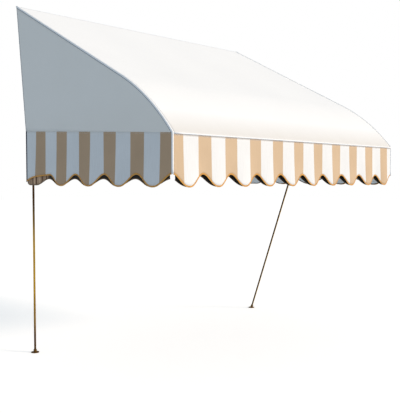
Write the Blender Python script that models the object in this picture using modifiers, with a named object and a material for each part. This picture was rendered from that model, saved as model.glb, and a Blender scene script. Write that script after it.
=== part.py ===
"""Fixed wedge awning with scalloped valances and slender prop poles.

The awning is a welded frame of bent round tube, covered in canvas. X runs
along the wall, +Y points into the wall, Z is up. The wall face is Y = 0 and
the origin is on the back of the middle head bracket, level with the axis of
the head rail. A side view is described by two numbers: how far a point is
out from the wall, and its height.
"""

import math

import bmesh
import bpy
from mathutils import Matrix, Vector

# Overall form of the cover, in metres and radians
WIDTH = 3.000
PROJECTION = 2.136
DROP = 1.268
ROOF_PITCH = math.radians(27.2)
NOSE_PITCH = math.radians(50.0)
STAND_OFF = 0.152
RAIL_RISE = 0.108

# Frame tube
TUBE_RADIUS = 0.016
TUBE_WALL = 0.0025
HEAD_RAIL_OUT = 0.032
RAFTER_COUNT = 2
HEM_MARGIN = 0.004

# Canvas, piping and bound edges
SHEET = 0.002
BEAD_RADIUS = 0.003
VALANCE_DEPTH = 0.379
SCALLOP_DEPTH = 0.093
SCALLOP_SHARPNESS = 1.25
FRONT_SCALLOPS = 10
SIDE_SCALLOPS = 5
FOLD_DEPTH = 0.016
FOLD_GROWTH = 1.5
BINDING_WIDTH = 0.011
BINDING_THICKNESS = 0.004
WALL_EDGE_GAP = 0.008

# Wall brackets
PLATE_WIDTH = 0.060
PLATE_THICKNESS = 0.006
PLATE_TOP = 0.022
PLATE_BOTTOM = -0.110
PLATE_CORNER = 0.008
CRADLE_LENGTH = 0.046
CRADLE_WALL = 0.005
SCREW_HOLE_RADIUS = 0.0045
SCREW_HOLE_HEIGHTS = (-0.046, -0.088)
HEAD_BRACKET_PITCH = 0.680
HEAD_BRACKET_COUNT = 5
NECK_TOP = 0.013
NECK_BOTTOM = -0.018

# Stand-off brackets that hold the lower rear rail away from the wall
STAND_OFF_PITCH = 1.150
STAND_OFF_COUNT = 3
STAND_OFF_PLATE_HEIGHT = 0.110
STAND_OFF_ARM_RADIUS = 0.011
STAND_OFF_HOLE_OUT = 0.038

# Prop poles: distances out from the wall, and the level they stand on
POLE_RADIUS = 0.0095
POLE_LENGTH_BELOW_RAIL = 1.905
LEFT_POLE_OUT = 0.240
RIGHT_POLE_HEAD_OUT = 1.010
RIGHT_POLE_FOOT_OUT = 0.290
SOCKET_WALL = 0.005
SOCKET_DEPTH = 0.026
SADDLE_LENGTH = 0.056
SADDLE_DROP = 0.020
SADDLE_EDGE = 0.0005
FOOT_RADIUS = 0.036
FOOT_THICKNESS = 0.006

# Plug in each open end of the head rail
PLUG_FLANGE = 0.0015
PLUG_DEPTH = 0.018

# Fit
CLEARANCE = 0.0003

# Blocks that only cut, and the distance at which a sweep's points are joined
CUTTER_MARGIN = 0.06
MITRE_BLOCK = 0.16
WELD_DISTANCE = 0.00005

# Facets
TUBE_RESOLUTION = 4
PIPING_RESOLUTION = 2
ARC_STEPS = 7
NOSE_STEPS = 4
COLUMNS_PER_SCALLOP = 8
VALANCE_ROWS = 3
ROUND_SEGMENTS = 24

# Worked out from the driving sizes
TUBE_SIDES = 2 * (TUBE_RESOLUTION + 2)
TUBE_FLAT_RADIUS = TUBE_RADIUS * math.cos(math.pi / TUBE_SIDES)
SKIN = SHEET + CLEARANCE
FRAME_INSET = TUBE_RADIUS + SKIN
BORE_RADIUS = TUBE_RADIUS + CLEARANCE
TOP_HEIGHT = FRAME_INSET / math.cos(ROOF_PITCH) + HEAD_RAIL_OUT * math.tan(ROOF_PITCH)
FRONT_HEIGHT = TOP_HEIGHT - DROP
FRONT_BAR_OUT = PROJECTION - FRAME_INSET
REAR_RAIL_OUT = STAND_OFF + TUBE_RADIUS + HEM_MARGIN
RAIL_SLOPE = RAIL_RISE / (PROJECTION - STAND_OFF)
REAR_RAIL_HEIGHT = FRONT_HEIGHT + RAIL_SLOPE * (FRONT_BAR_OUT - REAR_RAIL_OUT)
SIDE_X = WIDTH / 2 - FRAME_INSET
PIPING_RADIUS = (FRAME_INSET * math.sqrt(2) - BORE_RADIUS) / (1 + math.sqrt(2))
TRIM_INSET = 2 * PIPING_RADIUS + CLEARANCE
GROUND_HEIGHT = FRONT_HEIGHT - POLE_LENGTH_BELOW_RAIL
FRONT_REPEAT = WIDTH / FRONT_SCALLOPS
SIDE_REPEAT = (PROJECTION - STAND_OFF) / SIDE_SCALLOPS

COLORS = {
    "canvas": ((0.90, 0.885, 0.85, 1.0), 0.85, 0.0),
    "stripe": ((0.86, 0.78, 0.66, 1.0), 0.85, 0.0),
    "binding": ((0.62, 0.40, 0.12, 1.0), 0.6, 0.0),
    "frame": ((0.035, 0.033, 0.031, 1.0), 0.45, 0.2),
    "bracket": ((0.045, 0.043, 0.041, 1.0), 0.40, 0.6),
    "brass": ((0.62, 0.43, 0.12, 1.0), 0.28, 1.0),
    "plug": ((0.02, 0.02, 0.02, 1.0), 0.6, 0.0),
}


def clear_scene():
    """Remove what a new file holds."""
    for thing in list(bpy.data.objects):
        bpy.data.objects.remove(thing, do_unlink=True)


def new_collection(name):
    group = bpy.data.collections.new(name)
    bpy.context.scene.collection.children.link(group)
    return group


def material_for(node, kind):
    """Give each piece a material of its own in the colour of its kind."""
    color, roughness, metallic = COLORS[kind]
    material = bpy.data.materials.new(node)
    material.use_nodes = True
    shader = material.node_tree.nodes["Principled BSDF"]
    shader.inputs["Base Color"].default_value = color
    shader.inputs["Roughness"].default_value = roughness
    shader.inputs["Metallic"].default_value = metallic
    material.diffuse_color = color
    return material


def add_piece(name, mesh, kind):
    """Put a finished mesh into the awning's collection."""
    piece = bpy.data.objects.new(name, mesh)
    piece.data.materials.append(material_for(name, kind))
    PIECES.objects.link(piece)
    return piece


def add_tool(name, mesh):
    """Put a mesh that only cuts or joins into the tools' collection."""
    tool = bpy.data.objects.new(name, mesh)
    tool.hide_render = True
    tool.display_type = "WIRE"
    TOOLS.objects.link(tool)
    return tool


def boolean(piece, tool, operation):
    change = piece.modifiers.new(operation.lower() + "_" + tool.name, "BOOLEAN")
    change.operation = operation
    change.solver = "EXACT"
    change.object = tool


def smooth(mesh, angle=35.0):
    mesh.shade_smooth()
    mesh.set_sharp_from_angle(angle=math.radians(angle))


def side_point(x, out, height):
    """Turn a side-view point at a place along the wall into a 3-D point."""
    return Vector((x, -out, height))


def cylinder_mesh(name, start, end, radius, segments=ROUND_SEGMENTS):
    """A round bar from one point to another."""
    axis = end - start
    turn = axis.to_track_quat("Z", "Y").to_matrix().to_4x4()
    place = Matrix.Translation((start + end) / 2) @ turn
    shape = bmesh.new()
    bmesh.ops.create_cone(
        shape, cap_ends=True, segments=segments, radius1=radius, radius2=radius,
        depth=axis.length, matrix=place,
    )
    mesh = bpy.data.meshes.new(name)
    shape.to_mesh(mesh)
    shape.free()
    smooth(mesh)
    return mesh


def box_mesh(name, low, high, turn=None, rounding=0.0):
    """A box between two corners, turned about its own middle if asked."""
    middle = (low + high) / 2
    size = high - low
    scale = Matrix.Diagonal((size.x, size.y, size.z, 1.0))
    place = Matrix.Translation(middle) @ (turn or Matrix.Identity(4)) @ scale
    shape = bmesh.new()
    bmesh.ops.create_cube(shape, size=1.0, matrix=place)
    if rounding:
        across = [e for e in shape.edges if abs((e.verts[0].co - e.verts[1].co).y) > size.y / 2]
        bmesh.ops.bevel(
            shape, geom=across, offset=rounding, offset_type="OFFSET",
            segments=3, profile=0.5, affect="EDGES",
        )
    mesh = bpy.data.meshes.new(name)
    shape.to_mesh(mesh)
    shape.free()
    return mesh


def swept_mesh(name, points, radius, resolution, capped):
    """Sweep a circle along a chain of points and return it as a mesh."""
    curve = bpy.data.curves.new(name + "_path", "CURVE")
    curve.dimensions = "3D"
    curve.bevel_depth = radius
    curve.bevel_resolution = resolution
    curve.use_fill_caps = capped
    spline = curve.splines.new("POLY")
    spline.points.add(len(points) - 1)
    for knot, point in zip(spline.points, points):
        knot.co = (point.x, point.y, point.z, 1.0)
    guide = bpy.data.objects.new(name + "_path", curve)
    TOOLS.objects.link(guide)
    bpy.context.view_layer.update()
    posed = guide.evaluated_get(bpy.context.evaluated_depsgraph_get())
    mesh = bpy.data.meshes.new_from_object(posed)
    mesh.name = name
    bpy.data.objects.remove(guide, do_unlink=True)
    shape = bmesh.new()
    shape.from_mesh(mesh)
    bmesh.ops.remove_doubles(shape, verts=shape.verts, dist=WELD_DISTANCE)
    bmesh.ops.recalc_face_normals(shape, faces=shape.faces)
    shape.to_mesh(mesh)
    shape.free()
    mesh.materials.clear()
    smooth(mesh)
    return mesh


def hollow_tube(name, points, kind="frame"):
    """A frame tube: an open skin given its wall by Solidify."""
    piece = add_piece(name, swept_mesh(name, points, TUBE_RADIUS, TUBE_RESOLUTION, False), kind)
    wall = piece.modifiers.new("tube_wall", "SOLIDIFY")
    wall.thickness = TUBE_WALL
    wall.offset = -1.0
    wall.use_even_offset = True
    return piece


def roof_bend():
    """Length of the straight slope, and radius of the bend down to the nose.

    Both follow from the height and reach that the roof must cover between the
    wall and the point where the canvas starts to wrap the front bar.
    """
    reach = FRONT_BAR_OUT + FRAME_INSET * math.sin(NOSE_PITCH)
    fall = DROP - FRAME_INSET * math.cos(NOSE_PITCH)
    turn_out = math.sin(NOSE_PITCH) - math.sin(ROOF_PITCH)
    turn_down = math.cos(ROOF_PITCH) - math.cos(NOSE_PITCH)
    scale = math.cos(ROOF_PITCH) * turn_down - math.sin(ROOF_PITCH) * turn_out
    straight = (reach * turn_down - fall * turn_out) / scale
    radius = (fall * math.cos(ROOF_PITCH) - reach * math.sin(ROOF_PITCH)) / scale
    return straight, radius


def roof_profile(inset, start_out, nose_end=math.pi / 2):
    """Side-view points of the roof, a distance inside the canvas surface."""
    straight, radius = roof_bend()
    slope = Vector((math.cos(ROOF_PITCH), -math.sin(ROOF_PITCH)))
    square = Vector((math.sin(ROOF_PITCH), math.cos(ROOF_PITCH)))
    top = Vector((0.0, TOP_HEIGHT))
    bend_start = top + slope * straight
    centre = bend_start - square * radius
    line_start = top - square * inset
    along = (start_out - line_start.x) / slope.x
    points = [line_start + slope * along]
    for step in range(ARC_STEPS + 1):
        angle = ROOF_PITCH + (NOSE_PITCH - ROOF_PITCH) * step / ARC_STEPS
        points.append(centre + Vector((math.sin(angle), math.cos(angle))) * (radius - inset))
    if inset < FRAME_INSET:
        nose = Vector((FRONT_BAR_OUT, FRONT_HEIGHT))
        for step in range(1, NOSE_STEPS + 1):
            angle = NOSE_PITCH + (nose_end - NOSE_PITCH) * step / NOSE_STEPS
            around = Vector((math.sin(angle), math.cos(angle)))
            points.append(nose + around * (FRAME_INSET - inset))
    return points


def seam_height(out):
    """Height of the seam between a wing and its valance."""
    return FRONT_HEIGHT + RAIL_SLOPE * (PROJECTION - out)


def rail_height(out):
    """Height of a side rail's axis."""
    return FRONT_HEIGHT + RAIL_SLOPE * (FRONT_BAR_OUT - out)


def bar_cutter(name, start, end):
    """Clearance envelope of a frame tube, used to cope the tubes that meet it."""
    reach = (end - start).normalized() * CUTTER_MARGIN
    return add_tool(name, cylinder_mesh(name, start - reach, end + reach, BORE_RADIUS))


def mitre_cutter(name, corner, keep_x, keep_out):
    """Block that trims a tube's end at 45 degrees on one side of a corner."""
    heading = Vector((keep_x, -keep_out, 0.0)).normalized()
    turn = Matrix.Rotation(math.atan2(heading.y, heading.x), 4, "Z")
    middle = corner - heading * (MITRE_BLOCK - CLEARANCE) / 2
    half = Vector((MITRE_BLOCK / 2, MITRE_BLOCK, MITRE_BLOCK / 2))
    return add_tool(name, box_mesh(name, middle - half, middle + half, turn))


def base_frame():
    """The level rectangle of tube that the roof and the valances hang on."""
    cutters = {}
    for side, x in (("left", -SIDE_X), ("right", SIDE_X)):
        front = side_point(x, FRONT_BAR_OUT, FRONT_HEIGHT)
        rear = side_point(x, REAR_RAIL_OUT, REAR_RAIL_HEIGHT)
        rail = hollow_tube(side + "_side_rail", [front, rear])
        inward = 1.0 if x < 0 else -1.0
        for place, corner, keep_out in (("front", front, -1.0), ("rear", rear, 1.0)):
            trim = mitre_cutter(f"{side}_{place}_rail_mitre", corner, -inward, keep_out)
            boolean(rail, trim, "DIFFERENCE")
            cutters[side, place] = mitre_cutter(
                f"{side}_{place}_bar_mitre", corner, inward, -keep_out
            )
    for place, name, out, height in (
        ("front", "front_bar", FRONT_BAR_OUT, FRONT_HEIGHT),
        ("rear", "lower_rear_rail", REAR_RAIL_OUT, REAR_RAIL_HEIGHT),
    ):
        bar = hollow_tube(
            name, [side_point(-SIDE_X, out, height), side_point(SIDE_X, out, height)]
        )
        for side in ("left", "right"):
            boolean(bar, cutters[side, place], "DIFFERENCE")


def head_rail_end():
    """How far the head rail reaches along the wall: its plugs stop at the piping."""
    return WIDTH / 2 - TRIM_INSET - PLUG_FLANGE - CLEARANCE


def head_rail():
    """The tube along the wall, with a plug in each open end."""
    end = head_rail_end()
    hollow_tube("head_rail", [side_point(-end, HEAD_RAIL_OUT, 0), side_point(end, HEAD_RAIL_OUT, 0)])
    inner = TUBE_FLAT_RADIUS - TUBE_WALL - CLEARANCE
    for side, sign in (("left", -1.0), ("right", 1.0)):
        name = side + "_rail_plug"
        inside = side_point(sign * (end - PLUG_DEPTH), HEAD_RAIL_OUT, 0)
        face = side_point(sign * (end + CLEARANCE), HEAD_RAIL_OUT, 0)
        outer = side_point(sign * (end + CLEARANCE + PLUG_FLANGE), HEAD_RAIL_OUT, 0)
        plug = add_piece(name, cylinder_mesh(name, face, outer, TUBE_RADIUS), "plug")
        stem = add_tool(name + "_stem", cylinder_mesh(name + "_stem", inside, outer, inner))
        boolean(plug, stem, "UNION")


def rib_path(x):
    """Axis of a bent rib from the head rail to the front bar."""
    path = roof_profile(FRAME_INSET, HEAD_RAIL_OUT)
    return [side_point(x, out, height) for out, height in path]


def ribs():
    """Two end ribs and the rafters between them, all rolled to one curve."""
    head = bar_cutter(
        "head_rail_cope", side_point(-WIDTH / 2, HEAD_RAIL_OUT, 0),
        side_point(WIDTH / 2, HEAD_RAIL_OUT, 0),
    )
    front = bar_cutter(
        "front_bar_cope", side_point(-WIDTH / 2, FRONT_BAR_OUT, FRONT_HEIGHT),
        side_point(WIDTH / 2, FRONT_BAR_OUT, FRONT_HEIGHT),
    )
    rear = bar_cutter(
        "rear_rail_cope", side_point(-WIDTH / 2, REAR_RAIL_OUT, REAR_RAIL_HEIGHT),
        side_point(WIDTH / 2, REAR_RAIL_OUT, REAR_RAIL_HEIGHT),
    )
    bay = 2 * SIDE_X / (RAFTER_COUNT + 1)
    for number in range(RAFTER_COUNT):
        rafter = hollow_tube(f"rafter_{number + 1}", rib_path(-SIDE_X + bay * (number + 1)))
        boolean(rafter, head, "DIFFERENCE")
        boolean(rafter, front, "DIFFERENCE")
    for side, x in (("left", -SIDE_X), ("right", SIDE_X)):
        path = rib_path(x)
        rail = bar_cutter(
            side + "_rail_cope", side_point(x, FRONT_BAR_OUT, FRONT_HEIGHT),
            side_point(x, REAR_RAIL_OUT, REAR_RAIL_HEIGHT),
        )
        slope = bar_cutter(side + "_rib_cope", path[0], path[1])
        rib = hollow_tube(side + "_end_rib", path)
        for tool in (head, front, rail):
            boolean(rib, tool, "DIFFERENCE")
        foot = side_point(x, REAR_RAIL_OUT, REAR_RAIL_HEIGHT)
        upright = hollow_tube(side + "_upright", [side_point(x, HEAD_RAIL_OUT, 0), foot])
        for tool in (head, slope, rail, rear):
            boolean(upright, tool, "DIFFERENCE")


def plate_with_holes(name, x, bottom, top, hole_heights):
    """A wall plate with rounded corners and two screw holes."""
    half = PLATE_WIDTH / 2
    low = Vector((x - half, -PLATE_THICKNESS, bottom))
    high = Vector((x + half, 0.0, top))
    plate = add_piece(name, box_mesh(name, low, high, rounding=PLATE_CORNER), "bracket")
    holes = []
    for number, (across, height) in enumerate(hole_heights):
        start = Vector((x + across, -2 * PLATE_THICKNESS, height))
        end = Vector((x + across, PLATE_THICKNESS, height))
        tool = f"{name}_hole_{number + 1}"
        holes.append(add_tool(tool, cylinder_mesh(tool, start, end, SCREW_HOLE_RADIUS, 16)))
    return plate, holes


def head_brackets():
    """Cradles screwed to the wall that the head rail drops into."""
    saddle = BORE_RADIUS + CRADLE_WALL
    for number in range(HEAD_BRACKET_COUNT):
        x = (number - (HEAD_BRACKET_COUNT - 1) / 2) * HEAD_BRACKET_PITCH
        name = f"head_bracket_{number + 1}"
        heights = [(0.0, height) for height in SCREW_HOLE_HEIGHTS]
        plate, holes = plate_with_holes(name, x, PLATE_BOTTOM, PLATE_TOP, heights)
        half = CRADLE_LENGTH / 2
        cup = cylinder_mesh(
            name + "_cup", side_point(x - half, HEAD_RAIL_OUT, 0),
            side_point(x + half, HEAD_RAIL_OUT, 0), saddle,
        )
        neck = box_mesh(
            name + "_neck", Vector((x - half, -HEAD_RAIL_OUT, NECK_BOTTOM)),
            Vector((x + half, -PLATE_THICKNESS / 2, NECK_TOP)),
        )
        seat = cylinder_mesh(
            name + "_seat", side_point(x - PLATE_WIDTH, HEAD_RAIL_OUT, 0),
            side_point(x + PLATE_WIDTH, HEAD_RAIL_OUT, 0), BORE_RADIUS,
        )
        mouth = box_mesh(
            name + "_mouth", Vector((x - PLATE_WIDTH, -HEAD_RAIL_OUT - 2 * saddle, 0.0)),
            Vector((x + PLATE_WIDTH, -HEAD_RAIL_OUT + TUBE_RADIUS / 2, 2 * saddle)),
        )
        boolean(plate, add_tool(name + "_neck", neck), "UNION")
        boolean(plate, add_tool(name + "_cup", cup), "UNION")
        boolean(plate, add_tool(name + "_mouth", mouth), "DIFFERENCE")
        boolean(plate, add_tool(name + "_seat", seat), "DIFFERENCE")
        for hole in holes:
            boolean(plate, hole, "DIFFERENCE")


def stand_off_brackets():
    """Arms that hold the lower rear rail clear of the wall."""
    seat = bar_cutter(
        "stand_off_seat", side_point(-WIDTH / 2, REAR_RAIL_OUT, REAR_RAIL_HEIGHT),
        side_point(WIDTH / 2, REAR_RAIL_OUT, REAR_RAIL_HEIGHT),
    )
    half = STAND_OFF_PLATE_HEIGHT / 2
    for number in range(STAND_OFF_COUNT):
        x = (number - (STAND_OFF_COUNT - 1) / 2) * STAND_OFF_PITCH
        name = f"stand_off_bracket_{number + 1}"
        heights = [(0.0, REAR_RAIL_HEIGHT + side * STAND_OFF_HOLE_OUT) for side in (-1, 1)]
        plate, holes = plate_with_holes(
            name, x, REAR_RAIL_HEIGHT - half, REAR_RAIL_HEIGHT + half, heights
        )
        arm = cylinder_mesh(
            name + "_arm", side_point(x, PLATE_THICKNESS / 2, REAR_RAIL_HEIGHT),
            side_point(x, REAR_RAIL_OUT, REAR_RAIL_HEIGHT), STAND_OFF_ARM_RADIUS,
        )
        boolean(plate, add_tool(name + "_arm", arm), "UNION")
        boolean(plate, seat, "DIFFERENCE")
        for hole in holes:
            boolean(plate, hole, "DIFFERENCE")


def prop_pole(side, x, head_out, foot_out):
    """A brass pole with the saddle that it carries the rail on, and its foot."""
    head = side_point(x, head_out, rail_height(head_out))
    ground = side_point(x, foot_out, GROUND_HEIGHT)
    lean = (head - ground).normalized()
    socket = POLE_RADIUS + CLEARANCE + SOCKET_WALL
    pole_top = head - lean * (TUBE_RADIUS + SADDLE_DROP / 2)
    pole_end = ground + lean * ((FOOT_THICKNESS / 2 + POLE_RADIUS * abs(lean.y)) / lean.z)
    name = side + "_pole"
    pole = cylinder_mesh(name, pole_end, pole_top - lean * CLEARANCE, POLE_RADIUS)
    add_piece(name, pole, "brass")

    name = side + "_pole_saddle"
    along = Vector((0.0, -1.0, -RAIL_SLOPE)).normalized()
    tilt = Matrix.Rotation(math.atan(RAIL_SLOPE), 4, "X")
    half = Vector((TUBE_RADIUS - SADDLE_EDGE, SADDLE_LENGTH / 2, SADDLE_DROP / 2))
    middle = head - Vector((0.0, 0.0, TUBE_RADIUS))
    saddle = add_piece(name, box_mesh(name, middle - half, middle + half, tilt), "brass")
    stem = cylinder_mesh(name + "_stem", pole_top - lean * SOCKET_DEPTH, head, socket)
    bore = cylinder_mesh(
        name + "_bore", pole_top - lean * 2 * SOCKET_DEPTH, pole_top, POLE_RADIUS + CLEARANCE
    )
    rail = cylinder_mesh(
        name + "_rail", head - along * SADDLE_LENGTH, head + along * SADDLE_LENGTH, BORE_RADIUS
    )
    boolean(saddle, add_tool(name + "_stem", stem), "UNION")
    boolean(saddle, add_tool(name + "_rail", rail), "DIFFERENCE")
    boolean(saddle, add_tool(name + "_bore", bore), "DIFFERENCE")

    name = side + "_pole_foot"
    disc_top = ground + Vector((0.0, 0.0, FOOT_THICKNESS))
    foot = add_piece(name, cylinder_mesh(name, ground, disc_top, FOOT_RADIUS, 32), "brass")
    boss = cylinder_mesh(
        name + "_boss", ground + lean * FOOT_THICKNESS / 2, pole_end + lean * SOCKET_DEPTH, socket
    )
    bore = cylinder_mesh(
        name + "_bore", pole_end - lean * CLEARANCE, pole_end + lean * 2 * SOCKET_DEPTH,
        POLE_RADIUS + CLEARANCE,
    )
    under = box_mesh(
        name + "_under", ground - Vector((FOOT_RADIUS, FOOT_RADIUS, FOOT_RADIUS)) * 2,
        ground + Vector((FOOT_RADIUS * 2, FOOT_RADIUS * 2, 0.0)),
    )
    boolean(foot, add_tool(name + "_boss", boss), "UNION")
    boolean(foot, add_tool(name + "_bore", bore), "DIFFERENCE")
    boolean(foot, add_tool(name + "_under", under), "DIFFERENCE")


def grid_piece(name, grid, kind, thickness, offset):
    """An open sheet through rows of points, thickened into a closed solid."""
    shape = bmesh.new()
    rows = [[shape.verts.new(point) for point in row] for row in grid]
    for upper, lower in zip(rows, rows[1:]):
        for column in range(len(upper) - 1):
            shape.faces.new(
                (upper[column], lower[column], lower[column + 1], upper[column + 1])
            )
    mesh = bpy.data.meshes.new(name)
    shape.to_mesh(mesh)
    shape.free()
    smooth(mesh)
    piece = add_piece(name, mesh, kind)
    cloth = piece.modifiers.new("cloth", "SOLIDIFY")
    cloth.thickness = thickness
    cloth.offset = offset
    cloth.use_even_offset = True
    return piece


def roof_cover():
    """The roof canvas, taut over the ribs and round the front bar."""
    nose_end = math.acos((BEAD_RADIUS + CLEARANCE) / FRAME_INSET)
    profile = roof_profile(0.0, WALL_EDGE_GAP, nose_end)
    edge = WIDTH / 2 - TRIM_INSET
    grid = [[side_point(x, out, height) for x in (-edge, edge)] for out, height in profile]
    grid_piece("roof_cover", grid, "canvas", SHEET, -1.0)


def wings():
    """The flat canvas cheeks that close the two ends."""
    top = roof_profile(TRIM_INSET, WALL_EDGE_GAP)
    top[-1] = Vector((top[-1].x, seam_height(top[-1].x) + CLEARANCE / 2))
    rear = Vector((STAND_OFF, seam_height(STAND_OFF) + CLEARANCE / 2))
    outline = top + [rear]
    for side, sign in (("left", -1.0), ("right", 1.0)):
        shape = bmesh.new()
        corners = [
            shape.verts.new(side_point(sign * WIDTH / 2, out, height)) for out, height in outline
        ]
        face = shape.faces.new(corners)
        shape.normal_update()
        if face.normal.x * sign < 0:
            face.normal_flip()
        mesh = bpy.data.meshes.new(side + "_wing")
        shape.to_mesh(mesh)
        shape.free()
        wing = add_piece(side + "_wing", mesh, "canvas")
        cloth = wing.modifiers.new("cloth", "SOLIDIFY")
        cloth.thickness = SHEET
        cloth.offset = -1.0


def scallop_rise(along, repeat):
    """How far the edge lies above its lowest points, with an arch at each corner."""
    wave = 0.5 + 0.5 * math.cos(2 * math.pi * along / repeat)
    return SCALLOP_DEPTH * wave ** SCALLOP_SHARPNESS


def scallop_edge(along, repeat, inset, last_drop=None):
    """A point on the scalloped edge, or square to it by an inset."""
    step = repeat / 1000
    here = min(along, last_drop) if last_drop else along
    rise = scallop_rise(here, repeat)
    level = last_drop is not None and along > last_drop
    slope = 0.0 if level else (
        scallop_rise(here + step, repeat) - scallop_rise(here - step, repeat)
    ) / (2 * step)
    length = math.hypot(slope, 1.0)
    return along - slope / length * inset, rise + inset / length


def fold(along, repeat, share):
    """How far the cloth swings out, from nothing at the seam to full at the edge."""
    swing = 0.5 - 0.5 * math.cos(2 * math.pi * along / repeat)
    return FOLD_DEPTH * swing * share ** FOLD_GROWTH


def valance(name, start, end, repeat, place, top_height, last_drop=None, order=1):
    """A scalloped strip and the binding sewn round its edge.

    The strip runs from one distance along its seam to another, both counted
    from a front corner, and is placed by a function of the distance, the swing
    and the height. An order of -1 turns each row round, so that the faces of a
    strip that runs to the left still look outwards.
    """
    columns = round((end - start) / repeat * COLUMNS_PER_SCALLOP)
    stops = [start + (end - start) * step / columns for step in range(columns + 1)]

    def point(along, rise, share):
        return place(along, fold(along, repeat, share), FRONT_HEIGHT - VALANCE_DEPTH + rise)

    grid = [[] for row in range(VALANCE_ROWS + 1)]
    band = [[], []]
    for stop in stops:
        along, rise = scallop_edge(stop, repeat, BINDING_WIDTH + CLEARANCE, last_drop)
        along = min(max(along, start), end)
        high = top_height(stop) - (FRONT_HEIGHT - VALANCE_DEPTH)
        for row in range(VALANCE_ROWS + 1):
            share = row / VALANCE_ROWS
            sideways = stop + (along - stop) * share
            grid[row].append(point(sideways, high + (rise - high) * share, share))
        for line, inset in zip(band, (BINDING_WIDTH, 0.0)):
            along, rise = scallop_edge(stop, repeat, inset, last_drop)
            line.append(point(min(max(along, start), end), rise, 1.0))
    grid, band = ([row[::order] for row in rows] for rows in (grid, band))
    grid_piece(name + "_valance", grid, "stripe", SHEET, -1.0)
    centred = -SHEET / BINDING_THICKNESS
    grid_piece(name + "_binding", band, "binding", BINDING_THICKNESS, centred)


def valances():
    """The front strip, and one strip under each wing."""
    edge = WIDTH - TRIM_INSET
    bead = BEAD_RADIUS + CLEARANCE

    def on_front(along, swing, height):
        return Vector((along - WIDTH / 2, -(PROJECTION + swing), height))

    valance(
        "front", TRIM_INSET, edge, FRONT_REPEAT, on_front, lambda along: FRONT_HEIGHT - bead
    )
    run = PROJECTION - STAND_OFF
    last_drop = run - SIDE_REPEAT / 2
    for side, sign in (("left", -1.0), ("right", 1.0)):

        def on_side(along, swing, height, sign=sign):
            return Vector((sign * (WIDTH / 2 + swing), along - PROJECTION, height))

        valance(
            side, TRIM_INSET, run, SIDE_REPEAT, on_side,
            lambda along: seam_height(PROJECTION - along) - CLEARANCE / 2, last_drop, int(sign),
        )


def piping():
    """Round edging down each corner, and the bead along the front seam."""
    path = roof_profile(PIPING_RADIUS, WALL_EDGE_GAP)
    arch = FRONT_HEIGHT - VALANCE_DEPTH + SCALLOP_DEPTH
    path.append(Vector((PROJECTION - PIPING_RADIUS, arch)))
    for side, sign in (("left", -1.0), ("right", 1.0)):
        x = sign * (WIDTH / 2 - PIPING_RADIUS)
        points = [side_point(x, out, height) for out, height in path]
        name = side + "_piping"
        add_piece(name, swept_mesh(name, points, PIPING_RADIUS, PIPING_RESOLUTION, True), "canvas")
    out = PROJECTION - SHEET + BEAD_RADIUS
    end = WIDTH / 2 - TRIM_INSET
    bead = cylinder_mesh(
        "front_bead", side_point(-end, out, FRONT_HEIGHT), side_point(end, out, FRONT_HEIGHT),
        BEAD_RADIUS, 10,
    )
    add_piece("front_bead", bead, "canvas")


clear_scene()
PIECES = new_collection("awning")
TOOLS = new_collection("cutters")
base_frame()
head_rail()
ribs()
head_brackets()
stand_off_brackets()
prop_pole("left", -SIDE_X, LEFT_POLE_OUT, LEFT_POLE_OUT)
prop_pole("right", SIDE_X, RIGHT_POLE_HEAD_OUT, RIGHT_POLE_FOOT_OUT)
roof_cover()
wings()
valances()
piping()
TOOLS.hide_render = True
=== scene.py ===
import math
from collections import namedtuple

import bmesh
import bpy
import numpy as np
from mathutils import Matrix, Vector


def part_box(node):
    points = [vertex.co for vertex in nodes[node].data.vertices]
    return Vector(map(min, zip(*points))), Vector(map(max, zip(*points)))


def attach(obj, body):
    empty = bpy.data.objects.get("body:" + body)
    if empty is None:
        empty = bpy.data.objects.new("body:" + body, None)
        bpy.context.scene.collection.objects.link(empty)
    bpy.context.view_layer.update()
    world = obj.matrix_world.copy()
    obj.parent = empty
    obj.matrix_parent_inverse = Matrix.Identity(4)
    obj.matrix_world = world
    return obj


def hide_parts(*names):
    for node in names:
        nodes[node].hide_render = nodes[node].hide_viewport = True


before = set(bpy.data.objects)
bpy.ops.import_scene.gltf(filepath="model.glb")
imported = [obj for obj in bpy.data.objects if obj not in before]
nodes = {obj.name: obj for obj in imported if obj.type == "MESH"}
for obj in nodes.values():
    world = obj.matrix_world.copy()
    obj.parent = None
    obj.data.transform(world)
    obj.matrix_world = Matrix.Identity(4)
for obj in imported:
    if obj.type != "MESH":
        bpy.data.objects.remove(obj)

# %% [markdown]
# # A fixed wedge awning in canvas
# The frame of bent tube, its brackets and the two brass poles come from the
# packed model. This script dresses them: it sews a fine canvas over the
# tubes, hangs the striped strips with their scalloped edges, and paints the
# metal. X runs along the head rail, minus Y comes forward and Z is up, so a
# side view is told by two numbers: how far out from the back, and how high.

scene = bpy.context.scene
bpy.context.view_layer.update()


def put(name, data):
    """Make an object of a mesh, a lamp or a camera and put it into the scene."""
    made = bpy.data.objects.new(name, data)
    scene.collection.objects.link(made)
    return made


# %% [markdown]
# ## The awning's own sizes
# The pieces below have to sit where the packed ones are, so the script works
# from the same few driving sizes. The height of the ground is read from the
# box of a foot.

# %% Driving sizes, in metres and radians
WIDTH, PROJECTION, DROP = 3.000, 2.136, 1.268
ROOF_PITCH, NOSE_PITCH = math.radians(27.2), math.radians(50.0)
STAND_OFF, RAIL_RISE, BACK_GAP = 0.152, 0.108, 0.008
TUBE_RADIUS, SHEET, FIT = 0.016, 0.002, 0.0003
HEAD_OUT = 0.032
VALANCE_DEPTH, SCALLOP_DEPTH, SHARPNESS = 0.379, 0.093, 1.25
BINDING_WIDTH, BEAD_RADIUS, SWING = 0.011, 0.003, 0.016

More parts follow.
